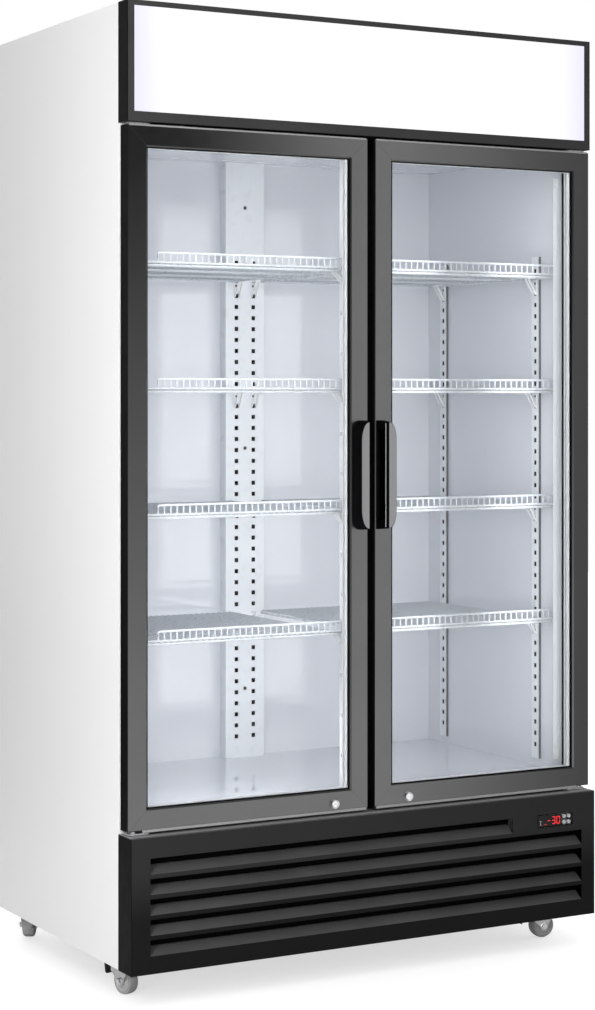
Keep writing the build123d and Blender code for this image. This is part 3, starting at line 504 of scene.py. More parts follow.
def louvre_paint_with_painted_light(name, bottom_shade_tone, top_light_tone, blade_highlight_tone, heights):
    """Black sheet with painted light: a little paler near its top, and paler slanting blades where they face
    up, as a painted highlight.
    """
    made, tree = new_tree(name)
    height = ramp(tree, coordinate(tree, "Z"), heights, (0, 1))
    face = blended(tree, height, (bottom_shade_tone,) * 3, (top_light_tone,) * 3)
    blade = uneven(tree, noise(tree, 8), (blade_highlight_tone,) * 3, 0.12)
    surface(
        tree,
        Base_Color=mixed(tree, spread(tree, coordinate(tree, "Z", "Normal"), 0, 1), face, blade),
        Roughness=spread(tree, noise(tree, 40), 0.36, 0.46),
        Specular_IOR_Level=0.06,
    )
    relief(tree, 1100, 0.00004, 0.2)
    return made


# Surfaces

fine_grain = {"grain": 1100, "strength": 0.2}
plain_pale = {"tint": 0.012, "tint_scale": 4}
white_paint = finish(
    "white_paint", (0.86, 0.86, 0.865), 0.36, tint=0.006, tint_scale=3, depth=0.00001, specular=0.3
)
zinc_sheet = spangled("zinc_sheet", (0.62, 0.63, 0.65))
foam_skin = finish("foam_skin", (0.8, 0.7, 0.45), 0.9, tint=0.1, tint_scale=30, grain=300, depth=0.0006)
liner_paint = finish(
    "liner_paint", (0.70, 0.72, 0.765), 0.05, tint=0.012, tint_scale=4, rough_tint=0.02, depth=0.000001
)
smoother_floor(liner_paint, 0.2)
pale_trim = finish("pale_trim", (0.90, 0.91, 0.925), 0.3, **plain_pale)
mullion_paint = finish("mullion_paint", (0.79, 0.80, 0.815), 0.3, **plain_pale)
strip_grey = finish("strip_grey", (0.58, 0.59, 0.605), 0.35, **plain_pale)
# Painted highlight: grey for the strips along the doors' top and bottom edges.
painted_edge_highlight = finish("painted_edge_highlight", (0.30, 0.30, 0.303), 0.35, tint=0.04, tint_scale=12)
spacer_metal = finish("spacer_metal", (0.86, 0.865, 0.87), 0.4, tint=0.01, tint_scale=10, depth=0.00001)
header_black = finish("header_black", (0.044, 0.044, 0.044), 0.4, tint=0.1, specular=0.06, **fine_grain)
frame_black = finish("frame_black", (0.004, 0.004, 0.0042), 0.5, tint=0.2, specular=0.1, **fine_grain)
black_paint = finish("black_paint", (0.024, 0.0245, 0.024), 0.4, tint=0.1, specular=0.15, **fine_grain)
# Grille paint with painted light: paler towards the top of its face and on its upward-facing blades.
grille_painted_light = louvre_paint_with_painted_light("grille_painted_light", 0.009, 0.025, 0.065, (0.10, 0.34))
# Painted shade on the sideways faces of the header and the grille.
painted_shade_on_sides(header_black, 0.003)
painted_shade_on_sides(grille_painted_light, 0.003)
# Sill paint with painted shade and light: dark at its front edge, paler towards the back under the doors.
sill_light_and_shade = painted_light_strip("sill_light_and_shade", (0.012,) * 3, (0.25, 0.25, 0.253), (-0.352, -0.331))
edge_black = finish("edge_black", (0.003, 0.003, 0.003), 0.5, tint=0.2, strength=0.2, specular=0.06)
# Condenser coil near black: partly a black coating, partly painted shade so that the louvre gaps read dark.
coil_black = finish("coil_black", (0.004, 0.004, 0.004), 0.6, tint=0.2, stretch=(300, 1, 1), specular=0.1)
door_metal = finish(
    "door_metal", (0.17, 0.17, 0.171), 0.24, 1, tint=0.03, tint_scale=8, rough_tint=0.02, strength=0.12
)
seal_grey = finish("seal_grey", (0.52, 0.525, 0.53), 0.55, tint=0.05, grain=1500, depth=0.00006)
handle_black = finish(
    "handle_black", (0.002, 0.002, 0.002), 0.45, tint=0.1, grain=1400, strength=0.2, specular=0.05
)
# Painted highlight: pale metal for the thin line along the handles' finger recess.
grip_highlight_metal = finish("grip_highlight_metal", (0.75, 0.75, 0.76), 0.3, metallic=0.7, tint=0.03)
handle_front = finish("handle_front", (0.30, 0.30, 0.305), 0.3, 0.9, stretch=(1, 1, 0.05), strength=0.2)
chrome = finish("chrome", (0.95, 0.95, 0.96), 0.14, metallic=1, tint=0.02, grain=700, depth=0.00001)
zinc_bright = finish("zinc_bright", (0.62, 0.63, 0.64), 0.3, metallic=0.6, tint=0.08, tint_scale=60)
dark_steel = finish("dark_steel", (0.07, 0.07, 0.072), 0.4, metallic=0.6, tint=0.12, tint_scale=50)
wire_white = finish("wire_white", (0.60, 0.63, 0.665), 0.28, tint=0.02, tint_scale=20)
# Painted shade: a darker copy of the wire white, for the shelves' deck and cross wires.
deck_wire_shaded = finish("deck_wire_shaded", (0.49, 0.515, 0.545), 0.3, tint=0.02, tint_scale=20)
standard_paint = finish("standard_paint", (0.80, 0.825, 0.855), 0.3, tint=0.02, tint_scale=10)
# Painted shade: dark grey for the strip along the front side of each wall channel.
painted_shade_grey = finish("painted_shade_grey", (0.13, 0.135, 0.14), 0.4, tint=0.05, tint_scale=30)
# Painted shade: near black for the strips behind the column's and the channels' slots and the sheet behind
# the louvres.
painted_shade_black = finish("painted_shade_black", (0.003, 0.003, 0.0035), 0.8, specular=0.02)
clip_metal = finish("clip_metal", (0.88, 0.89, 0.90), 0.3, metallic=0.1, tint=0.05, tint_scale=80)
fin_metal = finish("fin_metal", (0.72, 0.73, 0.74), 0.35, metallic=1, stretch=(300, 1, 1), tint_scale=1)
black_plastic = finish("black_plastic", (0.02, 0.02, 0.021), 0.45, tint=0.1, depth=0.00008)
fork_zinc = finish("fork_zinc", (0.66, 0.66, 0.67), 0.13, metallic=1, tint=0.08, tint_scale=70)
tyre_grey = finish("tyre_grey", (0.34, 0.34, 0.335), 0.4, tint=0.08, tint_scale=80, depth=0.00008, coat=0.6)
hub_grey = finish("hub_grey", (0.46, 0.46, 0.45), 0.3, tint=0.05, tint_scale=80, coat=0.5)
case_black = finish("case_black", (0.010, 0.010, 0.011), 0.22, tint=0.1)
window_black = finish("window_black", (0.004, 0.003, 0.003), 0.08, tint=0.1, depth=0.00001)
key_grey = finish("key_grey", (0.42, 0.43, 0.44), 0.4, tint=0.04)
lamp_white = lit("lamp_white", (0.50, 0.53, 0.56), 0.4)
reflector_white = finish("reflector_white", (0.9, 0.9, 0.9), 0.3)
digit_red = lit("digit_red", (0.80, 0.02, 0.03), 0.9)
mark_red = lit("mark_red", (0.4, 0.02, 0.02), 0.5)
icon_grey = finish("icon_grey", (0.3, 0.3, 0.31), 0.5)
glass = clear_glass("glass")
panel_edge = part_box("header_panel")[1].x
panel_light = glowing("panel_light", (0.98, 0.98, 1.0), (0.83, 0.80, 0.96), panel_edge, 0.07)


# Nodes that keep their CAD shape, with a finer surface


def dress(node, made, bevel=0):
    """Give a CAD node its material, and round its edges if asked."""
    obj = frame["nodes"][node]
    obj.data.materials.clear()
    obj.data.materials.append(made)
    for face in obj.data.polygons:
        face.material_index = 0
    if bevel:
        soften(obj, bevel, weld=True)
    return obj


def dress_kept_nodes():
    """Give the CAD nodes that stay as they are their materials."""
    kept = (
        (white_paint, 0, "side_panel_left side_panel_right top_panel"),
        (zinc_sheet, 0, "back_panel rear_cover base_frame"),
        (foam_skin, 0, "foam_insulation"),
        (liner_paint, 0, "liner"),
        (frame_black, 0, "front_frame"),
        (mullion_paint, 0, "centre_mullion"),
        (header_black, 0, "header_frame"),
        (panel_light, 0, "header_panel"),
        (reflector_white, 0, "header_reflector"),
        (grille_painted_light, panel_round, "front_grille"),
        (door_metal, panel_round, "door_frame_left door_frame_right"),
        (fin_metal, 0, "evaporator_coil"),
        (coil_black, 0, "condenser_coil"),
        (black_plastic, 0, "evaporator_fan condenser_fan evaporation_tray"),
        (dark_steel, 0, "condenser_shroud"),
        (black_paint, 0, "compressor"),
        (zinc_bright, edge_round, "hinge_brackets caster_plates"),
    )
    for made, bevel, nodes in kept:
        for node in nodes.split():
            dress(node, made, bevel)
    for place in caster_places:
        dress(f"caster_fork_{place}", fork_zinc, edge_round)


# Doors


def door_panes(word):
    """Two panes and the spacer between them."""
    low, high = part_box("door_glass_left")
    pane = 0.004
    shape = Shape()
    x, z = (low.x, high.x), (low.z, high.z)
    shape.box(x, (low.y, low.y + pane), z)
    shape.box(x, (high.y - pane, high.y), z)
    shape.on_door("panes", glass, "glass", word, ["door_glass"])
    spacer = Shape()
    spacer.rim(x, (low.y + pane, high.y - pane), z, 0.012)
    spacer.on_door("spacer", spacer_metal, "door_metal", word)


def glazing_beads(word):
    """Black strip that seals the outer pane, and the pale liner of the bars behind the panes."""
    low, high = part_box("door_frame_left")
    pane_low, pane_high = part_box("door_glass_left")
    x, z = (low.x + door_bar, high.x - door_bar), (low.z + door_bar, high.z - door_bar)
    rows = (
        ("bead", edge_black, "gasket", 0.0022, (pane_low.y - 0.0035, pane_low.y)),
        ("inner_trim", pale_trim, "trim", 0.0012, (pane_high.y, high.y)),
    )
    for name, made, slot, thick, y in rows:
        shape = Shape()
        shape.rim(x, y, z, thick)
        shape.on_door(name, made, slot, word, bevel=0.0003)


def door_edges(word):
    """Black edge strips on both upright sides of the door."""
    low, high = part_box("door_frame_left")
    thick, back = 0.0003, 0.0005
    y, z = (low.y + door_bevel, high.y - back), (low.z + back, high.z - back)
    shape = Shape()
    shape.box((low.x - thick, low.x), y, z)
    shape.box((high.x, high.x + thick), y, z)
    shape.on_door("edge", edge_black, "door_metal", word)


def mitre_lines(word):
    """Fine dark joints where the door's bars meet at its four corners."""
    low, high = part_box("door_frame_left")
    half, lift = 0.0001, 0.00006
    shape = Shape()
    for x, dx in ((low.x, 1), (high.x, -1)):
        for z, dz in ((low.z, 1), (high.z, -1)):
            start, end = [(x + dx * d, z + dz * d) for d in (door_bevel, door_bar)]
            corners = ((start, half), (end, half), (end, -half), (start, -half))
            outline = [(a + dx * s, b - dz * s) for (a, b), s in corners]
            shape.prism(outline, "y", (low.y - lift, low.y + lift))
    shape.on_door("mitres", dark_steel, "door_metal", word)


def painted_edge_highlights(word):
    """Painted highlights: paler strips along the door's upper and lower front edges."""
    low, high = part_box("door_frame_left")
    y = (low.y + 0.0002, low.y + door_bevel)
    corner, hinge_end, above, below = 0.004, 0.032, 0.0014, 0.0035
    shape = Shape()
    shape.box((low.x + corner, high.x - corner), y, (high.z - door_bevel, high.z + above))
    shape.box((low.x + hinge_end, high.x - corner), y, (low.z - below, low.z + door_bevel))
    shape.on_door("painted_edge_highlights", painted_edge_highlight, "door_metal", word, bevel=0.0005)


def door_seal(word):
    """Bellows seal: a foot, two folds and the flat face with its magnet strip."""
    low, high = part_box("door_gasket_left")
    w, d = 0.016, high.y - low.y
    half = w / 2
    section = [
        (0.003, 0),
        (0.001, 0.22),
        (0.003, 0.45),
        (0, 0.62),
        (0.0005, 1),
        (w - 0.0005, 1),
        (w, 0.62),
        (w - 0.003, 0.45),
        (w - 0.001, 0.22),
        (w - 0.003, 0),
        (half, 0.12),
    ]
    shape = Shape()
    lower = [(low.x, low.z, 1, 1), (high.x, low.z, -1, 1)]
    upper = [(high.x, high.z, -1, -1), (low.x, high.z, 1, -1)]
    corners = lower + upper
    shape.torus([[(x + dx * u, low.y + v * d, z + dz * u) for u, v in section] for x, z, dx, dz in corners])
    shape.on_door("seal", seal_grey, "gasket", word, ["door_gasket"])


def rounded(x0, x1, z0, z1, radii, steps=8):
    """Rectangle with its own corner radii: lower left, lower right, upper right, upper left."""
    corners = [(x0, z0, pi), (x1, z0, 1.5 * pi), (x1, z1, 0), (x0, z1, 0.5 * pi)]
    points = []
    for (x, z, start), r in zip(corners, radii):
        cx = x + r if x == x0 else x - r
        cz = z + r if z == z0 else z - r
        for i in range(steps + 1):
            a = start + 0.5 * pi * i / steps
            points.append((cx + r * cos(a), cz + r * sin(a)))
    return points


def grip_outline(low, high, share, inset=0.0):
    """Handle's outline from its foot (share 0) to its front (share 1), less an inset."""
    x0 = low.x + 0.0045 * share + inset
    x1 = high.x - grip_taper * share - inset
    middle = (low.z + high.z) / 2
    half = middle - low.z - 0.003 * share - inset
    across, rise = 0.017, 0.040
    points = [(x1, half)]
    for i in range(13):
        turn = pi / 2 * i / 12
        points.append((x0 + across * (1 - sin(turn)), half - rise * (1 - cos(turn))))
    points += [(x, -z) for x, z in reversed(points)]
    return [(x, middle + z) for x, z in points]


def grip():
    """Hooked handle's shell and the room for the fingers."""
    low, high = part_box("handle_left")
    y0, y1 = low.y + 0.0004, high.y
    shape = Shape()
    rings = []
    for y, inset in ((y1, 0.0), (y0 + 0.0012, 0.0), (y0 + 0.0003, 0.0004), (y0, 0.0012)):
        share = (y1 - y) / (y1 - y0)
        rings.append([(x, y, z) for x, z in grip_outline(low, high, share, inset)])
    shape.closed(rings)
    cut = Shape()
    wall, front_wall, finger = 0.007, 0.008, 0.095
    middle = (low.z + high.z) / 2
    radii = (0.006, 0.001, 0.001, 0.006)
    outline = rounded(low.x + wall, high.x + 0.01, middle - finger, middle + finger, radii)
    cut.prism(outline, "y", (low.y + front_wall, high.y + 0.001))
    return shape, cut


def cut_from(obj, shape, flip):
    """Take a shape away from a piece for good."""
    tool = shape.plain("cutter", flip)
    cut = obj.modifiers.new("cut", "BOOLEAN")
    cut.object = tool
    cut.solver = "EXACT"
    bpy.context.view_layer.update()
    graph = bpy.context.evaluated_depsgraph_get()
    made = bpy.data.meshes.new_from_object(obj.evaluated_get(graph))
    obj.modifiers.clear()
    obj.data = made
    bpy.data.objects.remove(tool)
    made.shade_smooth()
    made.set_sharp_from_angle(angle=radians(smooth_degrees))


def handles(word):
    """Handle: black shell, grey front plate and a pale metal strip at the rim of the finger recess as a
    painted highlight.
    """
    shape, cut = grip()
    body = shape.on_door("grip_shell", handle_black, "handle", word)
    cut_from(body, cut, word == "right")
    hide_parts(f"handle_{word}")
    low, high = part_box("handle_left")
    plate = Shape()
    outline = grip_outline(low, high, 1, 0.0011)
    plate.closed([[(x, y, z) for x, z in outline] for y in (low.y + 0.0009, low.y)])
    plate.on_door("grip_front", handle_front, "handle", word)
    rim = Shape()
    x = high.x - grip_taper * 0.75 - 0.0002
    y = low.y + 0.008
    middle, reach = (low.z + high.z) / 2, 0.1085
    rim.wire([(x, y, middle - reach), (x, y, middle + reach)], 0.0010)
    rim.on_door("grip_highlight", grip_highlight_metal, "handle", word)


def door_lock(word):
    """Chrome lock: a turned plug in a ring, a key slot, and the tongue behind it."""
    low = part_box("lock_left")[0]
    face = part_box("door_frame_left")[0]
    x, y, z = -0.090, face.y, face.z + 0.016
    mirrored = word == "right"
    body = f"lock_{word}"
    ring = Shape()
    profile = [
        (0.0080, 0.0),
        (0.0112, 0.0),
        (0.0112, 0.0012),
        (0.0102, 0.0024),
        (0.0098, 0.0052),
        (0.0090, 0.0062),
        (0.0082, 0.0058),
        (0.0080, 0.0040),
    ]
    ring.tyre(profile, (x, y, z), forwards)
    ring.piece(f"lock_ring_{word}", [chrome], body=body, flip=mirrored)
    plug = Shape()
    barrel = [(0.0079, -0.026), (0.0079, 0.0030), (0.0072, 0.0032)]
    nose = [(0.0070, 0.0050), (0.0062, 0.0056), (0.0001, 0.0058)]
    plug.lathe(barrel + nose, (x, y, z), forwards, 40)
    turned = plug.piece(f"lock_plug_{word}", [chrome], [body], body, mirrored)
    slot = Shape()
    slot.box((x - 0.0044, x + 0.0044), (y - 0.008, y + 0.002), (z - 0.0013, z + 0.0013))
    cut_from(turned, slot, mirrored)
    tongue = Shape()
    top = low.y + 0.0025 + 0.015
    outline = rounded(low.x, x, z - 0.0045, z + 0.0045, (0.004, 0.0005, 0.0005, 0.004), 6)
    tongue.prism(outline, "y", (top, top + 0.003))
    tongue.piece(f"lock_tongue_{word}", [chrome], body=body, flip=mirrored, bevel=0.0003)


def build_doors():
    for word in ("left", "right"):
        door_panes(word)
        glazing_beads(word)
        door_edges(word)
        mitre_lines(word)
        painted_edge_highlights(word)
        door_seal(word)
        handles(word)
        door_lock(word)


# Shelves and what carries them


def shelf(node):
    """White dipped wire shelf: rim, deck wires, cross wires and a ladder-shaped front guard. The deck and
    cross wires take a darker copy of the wire white as painted shade.
    """
    low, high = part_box(node)
    top = high.z - guard_height
    x0, x1, y0, y1 = low.x, high.x, low.y, high.y
    r = rim_radius
    shape = Shape()
    turn = 0.012
    rim_z = top - 2 * wire_radius - r + 0.0006
    outline = rounded(x0 + r, x1 - r, y0 + r, y1 - r, (turn - r,) * 4, 4)
    shape.paint(1).wire([(x, y, rim_z) for x, y in outline], r, ring=True)
    shape.paint(0)
    count = round((x1 - x0 - 2 * turn) / deck_pitch)
    pitch = (x1 - x0 - 2 * turn) / count
    for i in range(count + 1):
        x = x0 + turn + pitch * i
        shape.wire([(x, y, top - wire_radius) for y in (y0 + 0.001, y1 - 0.001)], wire_radius)
    for y in (y0 + (y1 - y0) * 0.34, y0 + (y1 - y0) * 0.67):
        shape.wire([(x0 + r, y, rim_z), (x1 - r, y, rim_z)], r)
    shape.paint(1)
    y = y0 + guard_radius
    gx0, gx1 = x0 + guard_short, x1 - 0.001
    upper = top + guard_height - guard_radius
    mid = top + 0.0012
    left_bend = [(gx0, mid), (gx0, upper - 0.004), (gx0 + 0.001, upper - 0.001), (gx0 + 0.004, upper)]
    right_bend = [(gx1 - 0.006, upper), (gx1 - 0.002, upper - 0.0015)]
    right_leg = [(gx1 - 0.0006, upper - 0.006), (gx1 - 0.0006, mid)]
    shape.wire([(x, y, z) for x, z in left_bend + right_bend + right_leg], guard_radius)
    shape.wire([(x0 + 0.002, y, mid), (gx1, y, mid)], guard_radius)
    count = round((gx1 - gx0) / guard_pitch)
    pitch = (gx1 - gx0) / count
    for i in range(1, count):
        x = gx0 + pitch * i
        shape.wire([(x, y, mid), (x, y, upper)], bar_radius, sides=6)
    shape.piece(f"wires_{node}", [deck_wire_shaded, wire_white], [node])


def slot_rows(low, high, level, first, last):
    """Cuts of a sheet's height: its ends and both edges of every slot, in the shelf clips' rhythm."""
    start = level - slot_pitch * int((level - first) / slot_pitch)
    cuts, z = [low], start
    while z + 2 * slot_half < last:
        cuts += [z, z + 2 * slot_half]
        z += slot_pitch
    return cuts + [high]


def clip_seat(level):
    """Height of a shelf's clips."""
    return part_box(f"shelf_left_{level}")[1].z - guard_height - seat_below


def clip_slot():
    """Lower edge of the slots behind the lowest shelf's clips."""
    return clip_seat(1) - 0.002 - 2 * slot_half


def rear_column():
    """Wide folded column with two rows of square slots, and its three screws."""
    low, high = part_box("shelf_standards")
    half, row = 0.050, 0.022
    heights = slot_rows(low.z, high.z, clip_slot(), *column_slots)
    cuts = [x + edge for x in (-row, row) for edge in (-slot_half, slot_half)]
    path = [(-half, high.y)] + [(x, column_face) for x in (-half, *cuts, half)] + [(half, high.y)]
    shape = Shape()
    shape.upright(path, heights, sheet, lambda i, k: i in (2, 4) and k % 2 == 1)
    shape.piece("column", [standard_paint], ["shelf_standards"])
    dark = Shape()
    for x in (-row, row):
        y = (column_face + 0.0014, column_face + 0.003)
        dark.box((x - 0.008, x + 0.008), y, (low.z + 0.01, high.z - 0.03))
    dark.piece("column_shadow", [painted_shade_black])
    screws = Shape()
    head = [(0.0042, 0), (0.0042, 0.0006), (0.0030, 0.0014), (0.0001, 0.0016)]
    for z in (0.531, 1.086, 1.641):
        screws.lathe(head, (0, column_face, z), forwards, 20)
    screws.piece("column_screws", [dark_steel])


def wall_channel(side, word, y, name):
    """Slotted channel on a side wall, with a dark grey strip along its front side as painted shade, and a
    dark strip behind its slots as painted shadow.
    """
    x0, x1 = channel_face - 0.006, channel_face
    low_z, high_z = 0.390, 1.520
    heights = slot_rows(low_z, high_z, clip_slot(), low_z + 0.01, high_z - 0.004)
    half = 0.013
    face = [(x0, y + edge) for edge in (-half, -slot_half, slot_half, half)]
    shape = Shape()
    path = [(x1, y - half), *face, (x1, y + half)]
    shape.upright(path, heights, sheet, lambda i, k: i == 2 and k % 2 == 1)
    shape.piece(f"channel_{name}_{word}", [standard_paint], flip=side == left)
    edge = Shape()
    edge.box((x0 + 0.0002, x1), (y - half - sheet - 0.0003, y - half - sheet), (low_z, high_z))
    edge.piece(f"channel_side_shade_{name}_{word}", [painted_shade_grey], flip=side == left)
    dark = Shape()
    dark.box((x1 - 0.0012, x1 - 0.0004), (y - 0.009, y + 0.009), (low_z + 0.004, high_z - 0.004))
    dark.piece(f"channel_shadow_{name}_{word}", [painted_shade_black], flip=side == left)


def clip(shape, seat, reach, drop, width, turn):
    """Pressed shelf clip: a seat, a slanting brace and the leg on the slotted face."""
    before = list(shape.bm.verts)
    t = 0.0018
    half = width / 2
    brace = [(0, -drop), (0.0035, -drop), (reach, -t * 1.4), (reach, 0), (0, 0)]
    inner = [(0.0016, -drop + 0.0048), (0.0016, -t), (reach - 0.0044, -t)]
    for y in (-half, half - t):
        rim = [shape.bm.verts.new((x, y, z)) for x, z in brace]
        rim_back = [shape.bm.verts.new((x, y + t, z)) for x, z in brace]
        core = [shape.bm.verts.new((x, y, z)) for x, z in inner]
        core_back = [shape.bm.verts.new((x, y + t, z)) for x, z in inner]
        for a, b in ((rim, core), (rim_back, core_back)):
            shape.face([a[0], a[1], b[0]])
            shape.face([a[1], a[2], b[2], b[0]])
            shape.face([a[2], a[3], b[2]])
            shape.face([a[3], a[4], b[1], b[2]])
            shape.face([a[4], a[0], b[0], b[1]])
        for ring, ring_back in ((rim, rim_back), (core, core_back)):
            for i in range(len(ring)):
                n = (i + 1) % len(ring)
                shape.face([ring[i], ring[n], ring_back[n], ring_back[i]])
    shape.box((0, reach), (-half + t, half - t), (-t, 0))
    shape.box((-0.003, 0), (-0.0032, 0.0032), (-0.0095, -0.0025))
    shape.move(Matrix.Translation(seat) @ Matrix.Rotation(turn, 4, "Z"), before)


def shelf_clips():
    wall, beam = 0.514, 0.028
    spots = Shape()
    for level in (1, 2, 3, 4):
        z = clip_seat(level)
        for side, facing in ((left, 0), (right, pi)):
            for y in channel_places.values():
                clip(spots, (side * wall, y, z), 0.024, clip_drop, 0.014, facing)
            clip(spots, (side * beam, -0.247, z), 0.022, 0.024, 0.014, pi - facing)
            clip(spots, (side * 0.022, column_face, z), 0.024, clip_drop, 0.012, -pi / 2)
    spots.piece("clips", [clip_metal], ["shelf_clips"])


def build_shelves():
    for word in ("left", "right"):
        for level in (1, 2, 3, 4):
            shelf(f"shelf_{word}_{level}")
    rear_column()
    for side, word in sides:
        for name, y in channel_places.items():
            wall_channel(side, word, y, name)
    shelf_clips()


# Lamps and ceiling


def door_lamps():
    """Lamp strip beside each doorway: a bowed lens in a pale rail, with end caps."""
    x1, y0, y1 = channel_face, -0.269, -0.263
    z_low, z_high, cap = 0.400, 1.690, 0.022
    thin, wide, flange = 0.0015, 0.0125, 0.001
    for side, word in sides:
        shape = Shape()
        inner = [(x1 - wide, y1 - flange), (x1 - thin, y1 - flange), (x1 - thin, y0)]
        shape.prism([(x1, y0), (x1, y1), (x1 - wide, y1), *inner], "z", (z_low, z_high))
        for z in ((z_low, z_low + cap), (z_high - cap, z_high)):
            shape.box((x1 - wide, x1 - thin), (y0, y1 - flange), z)
        shape.piece(f"lamp_rail_{word}", [pale_trim], flip=side == left, bevel=0.0003)
        lens = Shape()
        arc = [(x1 - 0.0015, y1 - 0.0012)]
        for i in range(9):
            a = pi * i / 8
            arc.append((x1 - 0.0062 + 0.0046 * cos(a), y1 - 0.0014 - 0.0032 * sin(a)))
        lens.prism(arc, "z", (z_low + cap, z_high - cap))
        lens.piece(f"lamp_lens_{word}", [lamp_white], flip=side == left)


def header_lamps():
    """Three rows of light bars on the reflector."""
    for row, z in enumerate((1.810, 1.870, 1.930), start=1):
        shape = Shape()
        y = -0.2922
        shape.box((-0.547, 0.547), (y - 0.0016, y), (z - 0.007, z + 0.007))
        shape.paint(1)
        count = 30
        for i in range(count):
            x = -0.53 + 1.06 * i / (count - 1)
            shape.box((x - 0.0025, x + 0.0025), (y - 0.003, y - 0.0016), (z - 0.0025, z + 0.0025))
        stands_for = ["led_strips"] if row == 1 else []
        shape.piece(f"light_bar_{row}", [reflector_white, lamp_white], stands_for)


def ceiling():
    """Ceiling panel with its return slots, the fan's finger guard and the motor above it."""
    low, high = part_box("evaporator_cover")
    z, t = low.z, 0.0015
    fan_low, fan_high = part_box("evaporator_fan")
    cx, cy = (fan_low.x + fan_high.x) / 2, (fan_low.y + fan_high.y) / 2
    outer, ring = 0.100, 48
    shape = Shape()
    y_slot = (0.210, 0.218)
    count, slot_half_length = 12, 0.030
    xs = [low.x]
    pitch = (high.x - low.x) / count
    for i in range(count):
        x = low.x + pitch * (i + 0.5)
        xs += [x - slot_half_length, x + slot_half_length]
    xs.append(high.x)
    square = 0.13
    y_low = cy + square
    grid = [[(x, y, z) for y in (y_low, *y_slot, high.y)] for x in xs]
    shape.sheet(grid, -t, lambda i, k: k == 1 and i % 2 == 1)
    shape.box((low.x, cx - square), (low.y, y_low), (z, z + t))
    shape.box((cx + square, high.x), (low.y, y_low), (z, z + t))
    shape.box((cx - square, cx + square), (low.y, cy - square), (z, z + t))
    mouth = []
    for i in range(ring):
        a = 2 * pi * i / ring + pi / 4
        reach = square / max(abs(cos(a)), abs(sin(a)))
        corners = ((reach, z), (outer, z), (outer, z + t), (reach, z + t))
        mouth.append([(cx + far * cos(a), cy + far * sin(a), height) for far, height in corners])
    shape.torus(mouth)
    duct = Shape()
    duct.box((low.x + 0.004, high.x - 0.004), (0.190, 0.238), (z + 0.0022, z + 0.0032))
    duct.piece("duct_sheet", [liner_paint])
    shape.piece("ceiling_panel", [liner_paint], ["evaporator_cover"])
    guard = Shape()
    for r in (0.022, 0.035, 0.048, 0.061, 0.074, 0.087, 0.100):
        turns = [2 * pi * i / ring for i in range(ring)]
        path = [(cx + r * cos(a), cy + r * sin(a), z - 0.0016) for a in turns]
        guard.wire(path, 0.0011, sides=6, ring=True)
    for i in range(4):
        a = pi / 4 + pi / 2 * i
        guard.wire([(cx + r * cos(a), cy + r * sin(a), z - 0.0004) for r in (0.02, 0.108)], 0.0014)
    guard.piece("fan_guard", [wire_white])
    fan_motor("evaporator_motor", Matrix.Translation((cx, cy, (fan_low.z + fan_high.z) / 2)), 0.108)


def fan_motor(name, place, ring):
    """Shaded-pole fan motor: ribbed can, end cap, shaft and three arms with feet."""
    shape = Shape()
    base = 0.015
    profile = [(0.0255, base), (0.027, base + 0.0015), (0.027, base + 0.010)]
    for i in range(5):
        z = base + 0.010 + 0.004 * i
        profile += [(0.0262, z + 0.001), (0.0262, z + 0.002), (0.027, z + 0.003), (0.027, z + 0.004)]
    profile += [(0.027, base + 0.034), (0.022, base + 0.0385), (0.012, base + 0.040), (0.0001, base + 0.040)]
    shape.lathe(profile, (0, 0, 0), upwards, 40)
    shape.lathe([(0.003, -0.003), (0.003, base + 0.001)], (0, 0, 0), upwards, 20)
    for i in range(3):
        before = list(shape.bm.verts)
        shape.box((0.020, ring), (-0.004, 0.004), (base + 0.008, base + 0.011))
        shape.box((ring - 0.003, ring), (-0.004, 0.004), (-0.0149, base + 0.009))
        shape.box((ring - 0.008, ring), (-0.004, 0.004), (-0.0149, -0.0129))
        shape.move(Matrix.Rotation(pi / 2 + 2 * pi * i / 3, 4, "Z"), before)
    shape.move(place)
    shape.piece(name, [dark_steel], bevel=0.0004)


def build_lamps():
    door_lamps()
    header_lamps()
    ceiling()


# Controller


segments_of = {"-": "g", "3": "abcdg", "0": "abcdef"}
figure_thick = 0.0003


def digit(shape, mark, x, z, width, height, y):
    """Seven-segment figure with its lower left corner at x and z."""
    t = width * 0.17
    mid = z + height / 2
    spots = {
        "a": ((x + t, x + width - t), (z + height - t, z + height)),
        "g": ((x + t, x + width - t), (mid - t / 2, mid + t / 2)),
        "d": ((x + t, x + width - t), (z, z + t)),
        "f": ((x, x + t), (mid + t / 2, z + height - t / 2)),
        "b": ((x + width - t, x + width), (mid + t / 2, z + height - t / 2)),
        "e": ((x, x + t), (z + t / 2, mid - t / 2)),
        "c": ((x + width - t, x + width), (z + t / 2, mid - t / 2)),
    }
    for letter in segments_of[mark]:
        across, up = spots[letter]
        shape.box(across, (y, y + figure_thick), up)


